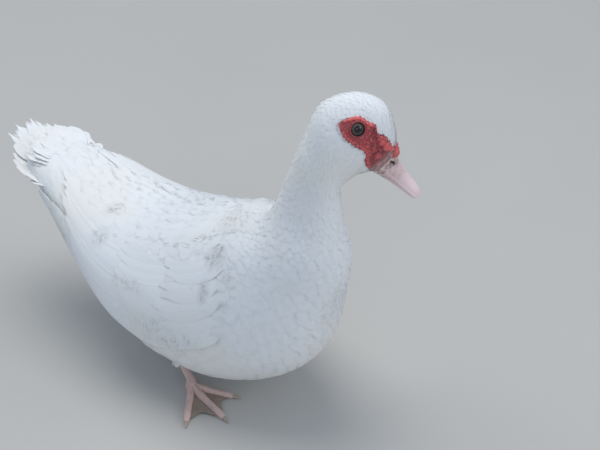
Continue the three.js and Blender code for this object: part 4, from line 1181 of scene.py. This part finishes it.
def knob_piece():
    """The fused red bulbs over the bill's root, with small warts on them."""
    draw = np.random.default_rng(5)
    bulbs = [(x + 0.3, y, z - 0.4, r + 0.7) for x, y, z, r in KNOB]
    for x, y, z, r in KNOB:
        for _ in range(5):
            away = unit(draw.normal(0, 1, 3) + (0.9, 0, -0.3)) * r * 0.85
            bulbs.append((x + away[0], y + away[1], z + away[2], draw.uniform(1.2, 2.0)))
    sphere, quads = ball(15, 20)
    points, faces = joined([(from_bill(sphere * r + (x, y, z)), quads) for x, y, z, r in bulbs])
    made = piece("knob", points, faces, "face_skin", stands_for=("bill_knob",))
    remesh = made.modifiers.new("fuse", "REMESH")
    remesh.mode = "VOXEL"
    remesh.voxel_size = 0.4 * MM
    relax = made.modifiers.new("relax", "SMOOTH")
    relax.iterations = 4
    relax.factor = 0.5
    bpy.context.view_layer.objects.active = made
    for modifier in ("fuse", "relax"):
        bpy.ops.object.modifier_apply(modifier=modifier)
    mesh = made.data
    for polygon in mesh.polygons:
        polygon.use_smooth = True
    # rise 0.8 gives the whole knob the bright red that the face's painted bulb highlights reach
    for label, level in (("rise", 0.8), ("pale", 0.12), ("dark", 0.0)):
        layer = mesh.attributes.new(label, "FLOAT", "POINT")
        layer.data.foreach_set("value", np.full(len(mesh.vertices), level, np.float32))


# Feet.
TOES = [("outer", -40, 52), ("middle", 0, 57), ("inner", 36, 44)]
TOE_REACH = 0.96
HIND_ANGLE, HIND_LENGTH = 158, 17
TOE_WIDTH = [4.8, 3.9, 3.6, 3.2, 3.4, 2.6]
TOE_HEIGHT = [11.5, 8.4, 6.8, 5.8, 5.6, 4.2]
HUB_LONG, HUB_WIDE = [6.4, 6.9, 6, 5.4], [5.6, 6.1, 5.2, 4.6]
SHANK_LONG, SHANK_WIDE = [5.2, 4.6, 4.4, 4.6, 5.0], [4.4, 3.6, 3.4, 3.6, 4.0]
WEB_THICK = 1.0
NAIL_LENGTH, NAIL_HALF, NAIL_HIGH = 8.6, 2.1, 3.4


def spun(points, degrees):
    """Points turned about the upright axis."""
    turn = math.radians(degrees)
    x, y, z = np.moveaxis(np.asarray(points, float), -1, 0)
    return np.stack([x * math.cos(turn) - y * math.sin(turn), x * math.sin(turn) + y * math.cos(turn), z], -1)


def stand(leg, points):
    return spun(points, leg["heading"]) + (*leg["ankle"], 0)


def toe_tube(length, angle, widths, heights, scutes):
    """A toe from the foot's middle, flat below, with swollen joints and a ripple of scutes on top."""
    f = np.linspace(0, 1, 64)[:, None]
    a = around(20)[None, :]
    beat = 1 + 0.035 * np.abs(np.sin(math.pi * f * scutes))
    joint = 1 + 0.10 * sum(bell(f - k, 0.05) for k in (0.35, 0.62, 0.86))
    y = np.cos(a) * curve(widths, f) * joint
    z = curve(heights, f) * beat * (0.6 + 0.4 * joint) * np.clip(0.42 + 0.58 * np.sin(a), 0, 1)
    return tube(spun(np.stack(np.broadcast_arrays(f * length, y, z), -1), angle))


def web_sheet(a, b):
    """The creased web between toes a and b, scalloped at its rim."""
    i, g = np.meshgrid(np.linspace(0, 1, 40), np.linspace(0, 1, 34), indexing="ij")
    arch = np.sin(math.pi * g)
    f = mix(0.06, 0.95, i) * mix(1, 1 - 0.26 * arch, i)
    length = mix(a[2], b[2], g) * f
    turn = np.radians(mix(a[1], b[1], g))
    crease = 0.35 * np.sin(g * 26 + 3 * np.sin(i * 4)) * i
    z = 1 + WEB_THICK * 1.1 + (1.6 * (1 - 0.5 * f) + crease) * arch
    upper = np.stack([length * np.cos(turn), length * np.sin(turn), z], -1)
    return plate(upper, upper - (0, 0, WEB_THICK))


def oval_rings(x, y, z, rx, ry):
    """Level rings whose middles and half widths are lists of the same length, or plain numbers."""
    x, y, z, rx, ry = (np.asarray(item, float)[..., None] for item in (x, y, z, rx, ry))
    a = around(28)[None, :]
    return np.stack(np.broadcast_arrays(x + rx * np.cos(a), y + ry * np.sin(a), z), -1)


def nail(length):
    """A claw at the end of a toe of this length, pointing along x."""
    f = np.linspace(0, 1, 24)[:, None]
    a = around(16)[None, :]
    x = length * TOE_REACH + 0.1 + NAIL_LENGTH * f
    y = NAIL_HALF * (1 - 0.86 * f**1.3) * np.cos(a)
    z = 0.3 + 0.5 * np.sin(math.pi * f * 0.8) + NAIL_HIGH * (1 - 0.66 * f) * (0.5 + 0.5 * np.sin(a))
    return tube(np.stack(np.broadcast_arrays(x, y, z), -1))


def foot_pieces(leg):
    """One leg below its feathers: the webbed foot, the scaly shank and the claws."""
    side, name = leg["side"], leg["name"]
    toes = [(label, -side * angle, length) for label, angle, length in TOES]
    parts = [toe_tube(length * TOE_REACH, angle, TOE_WIDTH, TOE_HEIGHT, 15) for _, angle, length in toes]
    parts.append(toe_tube(HIND_LENGTH, -side * HIND_ANGLE, [4.2, 3, 2.2], [9, 6, 3.6], 5))
    z = np.linspace(0, ANKLE_TOP + 0.6, 20)
    parts.append(tube(oval_rings(0, 0, z, curve(HUB_LONG, z / ANKLE_TOP), curve(HUB_WIDE, z / ANKLE_TOP))))
    skin_count = sum(len(points) for points, _ in parts)
    parts += [web_sheet(toes[0], toes[1]), web_sheet(toes[1], toes[2])]
    points, faces = joined(parts)
    toe = (np.arange(len(points)) < skin_count).astype(float)
    piece(f"webbed_foot_{name}", stand(leg, points), faces, "foot_skin", values={"toe": toe},
          stands_for=(f"foot_{name}",))

    f = np.linspace(0, 1, 40)
    z = mix(ANKLE_TOP, THIGH_BOTTOM + 4, f)
    slant = (z - ANKLE_TOP) / (THIGH_BOTTOM - ANKLE_TOP)
    x, y = (mix(leg["ankle"][k], leg["hip"][k], slant) for k in (0, 1))
    beat = 1 + 0.03 * np.abs(np.sin(f * math.pi * 7))
    points, faces = tube(oval_rings(x, y, z, curve(SHANK_LONG, f) * beat, curve(SHANK_WIDE, f) * beat))
    piece(f"leg_{name}", points, faces, "foot_skin", values={"toe": np.ones(len(points))},
          stands_for=(f"shank_{name}",))

    for label, angle, length in toes:
        points, faces = nail(length)
        piece(f"nail_{name}_{label}", stand(leg, spun(points, angle)), faces, "claw",
              stands_for=(f"claw_{name}_{label}",))


THIGH_BAND = 0.945  # the thighs' place in the bake map, past the body's and the tail's


def thigh_coat():
    """Soft feathers down each thigh to where the scaly leg begins."""
    broad = [feather_template(6, 12, loose=0.14) for _ in range(5)]
    count = 15
    laid = []
    for half, leg in enumerate(LEGS):
        for t in np.arange(6, 31, 4.5):
            a = (np.arange(count) + rng.uniform(0, 1)) / count * 2 * math.pi
            down = t + rng.normal(0, 0.8, count)
            row = lay(thigh_surface(leg), down, a, 12, 8.5, -0.4, 1.6, broad, turn=8.0)
            bake = row[3]
            bake[:, 0] += 0.5 * half - 0.5 * np.repeat(a / (2 * math.pi), len(bake) // count)
            bake[:, 1] += THIGH_BAND
            laid.append(row)
    coat("coat_thighs", laid)


# Stage.
CAMERA_AZIMUTH, CAMERA_ELEVATION = math.radians(39), math.radians(34)
CAMERA_DISTANCE = 1665  # from the point below
FOCAL_PIXELS = 1750  # for a picture 600 pixels wide
PICTURE_WIDTH, PICTURE_HEIGHT = 600, 450
AIM, AIM_PIXEL = np.array([0.0, 0.0, 119.0]), (218, 266)


SENSOR_WIDTH = 36
# In metres: what the lights point at, and each one's name, place, size, power and colour.
LIT_POINT = (0, 0, 0.15)
LIGHTS = [
    ("key", (-0.5, 0.2, 2.3), 1.7, 28, (1.0, 0.98, 0.95)),
    ("fill", (1.5, -1.9, 1.3), 1.8, 9, (0.84, 0.92, 1.0)),
    ("front", (2.1, 0.9, 1.3), 1.4, 12, (1.0, 0.97, 0.95)),
]
SKY, SKY_STRENGTH = rgb(0.68, 0.82, 1.0), 0.5
FLOOR_HALF = 6.0


def look():
    """The photograph's camera."""
    sa, ca = math.sin(CAMERA_AZIMUTH), math.cos(CAMERA_AZIMUTH)
    se, ce = math.sin(CAMERA_ELEVATION), math.cos(CAMERA_ELEVATION)
    towards = np.array([sa * ce, -ca * ce, se])
    right = np.array([ca, sa, 0])
    up = np.array([-sa * se, ca * se, ce])
    scale = CAMERA_DISTANCE / FOCAL_PIXELS
    target = (AIM - (AIM_PIXEL[0] - PICTURE_WIDTH / 2) * scale * right
              + (AIM_PIXEL[1] - PICTURE_HEIGHT / 2) * scale * up)
    camera = bpy.data.objects.new("camera", bpy.data.cameras.new("camera"))
    camera.data.sensor_width = SENSOR_WIDTH
    camera.data.lens = FOCAL_PIXELS / PICTURE_WIDTH * SENSOR_WIDTH
    camera.data.clip_end = 50
    place = to_metres(target + towards * CAMERA_DISTANCE)
    bpy.context.scene.collection.objects.link(camera)
    camera.matrix_world = Matrix([(right[i], up[i], towards[i], place[i]) for i in range(3)] + [(0, 0, 0, 1)])
    bpy.context.scene.camera = camera


def area_light(name, place, size, power, colour):
    light = bpy.data.lights.new(name, "AREA")
    light.shape = "DISK"
    light.size = size
    light.energy = power
    light.color = colour
    made = bpy.data.objects.new(name, light)
    made.location = place
    made.rotation_euler = (Vector(LIT_POINT) - Vector(place)).to_track_quat("-Z", "Y").to_euler()
    bpy.context.scene.collection.objects.link(made)


def studio():
    """A pale floor, a soft sky and three soft lights."""
    mesh = bpy.data.meshes.new("floor")
    r = FLOOR_HALF
    mesh.from_pydata([(-r, -r, 0), (r, -r, 0), (r, r, 0), (-r, r, 0)], [], [(0, 1, 2, 3)])
    floor = bpy.data.objects.new("floor", mesh)
    bpy.context.scene.collection.objects.link(floor)
    m = Nodes("pale_floor")
    m.set(Base_Color=m.blend(m.noise(3, 2), rgb(0.50, 0.485, 0.46), rgb(0.54, 0.525, 0.50)), Roughness=0.9)
    mesh.materials.append(m.material)
    world = bpy.data.worlds.new("soft")
    bpy.context.scene.world = world
    world.use_nodes = True
    background = world.node_tree.nodes["Background"]
    background.inputs["Color"].default_value = SKY
    background.inputs["Strength"].default_value = SKY_STRENGTH
    for light in LIGHTS:
        area_light(*light)
    bpy.context.scene.view_settings.view_transform = "Standard"


look()
studio()
skin_piece()
body_coat()
thigh_coat()
for side, name in ((-1, "right"), (1, "left")):
    wing_vanes(side, name)
    wing_cover(side, name)
    face_piece(side, name)
    eye_piece(side, name)
tail()
bill_top()
bill_jaw()
knob_piece()
for leg in LEGS:
    foot_pieces(leg)
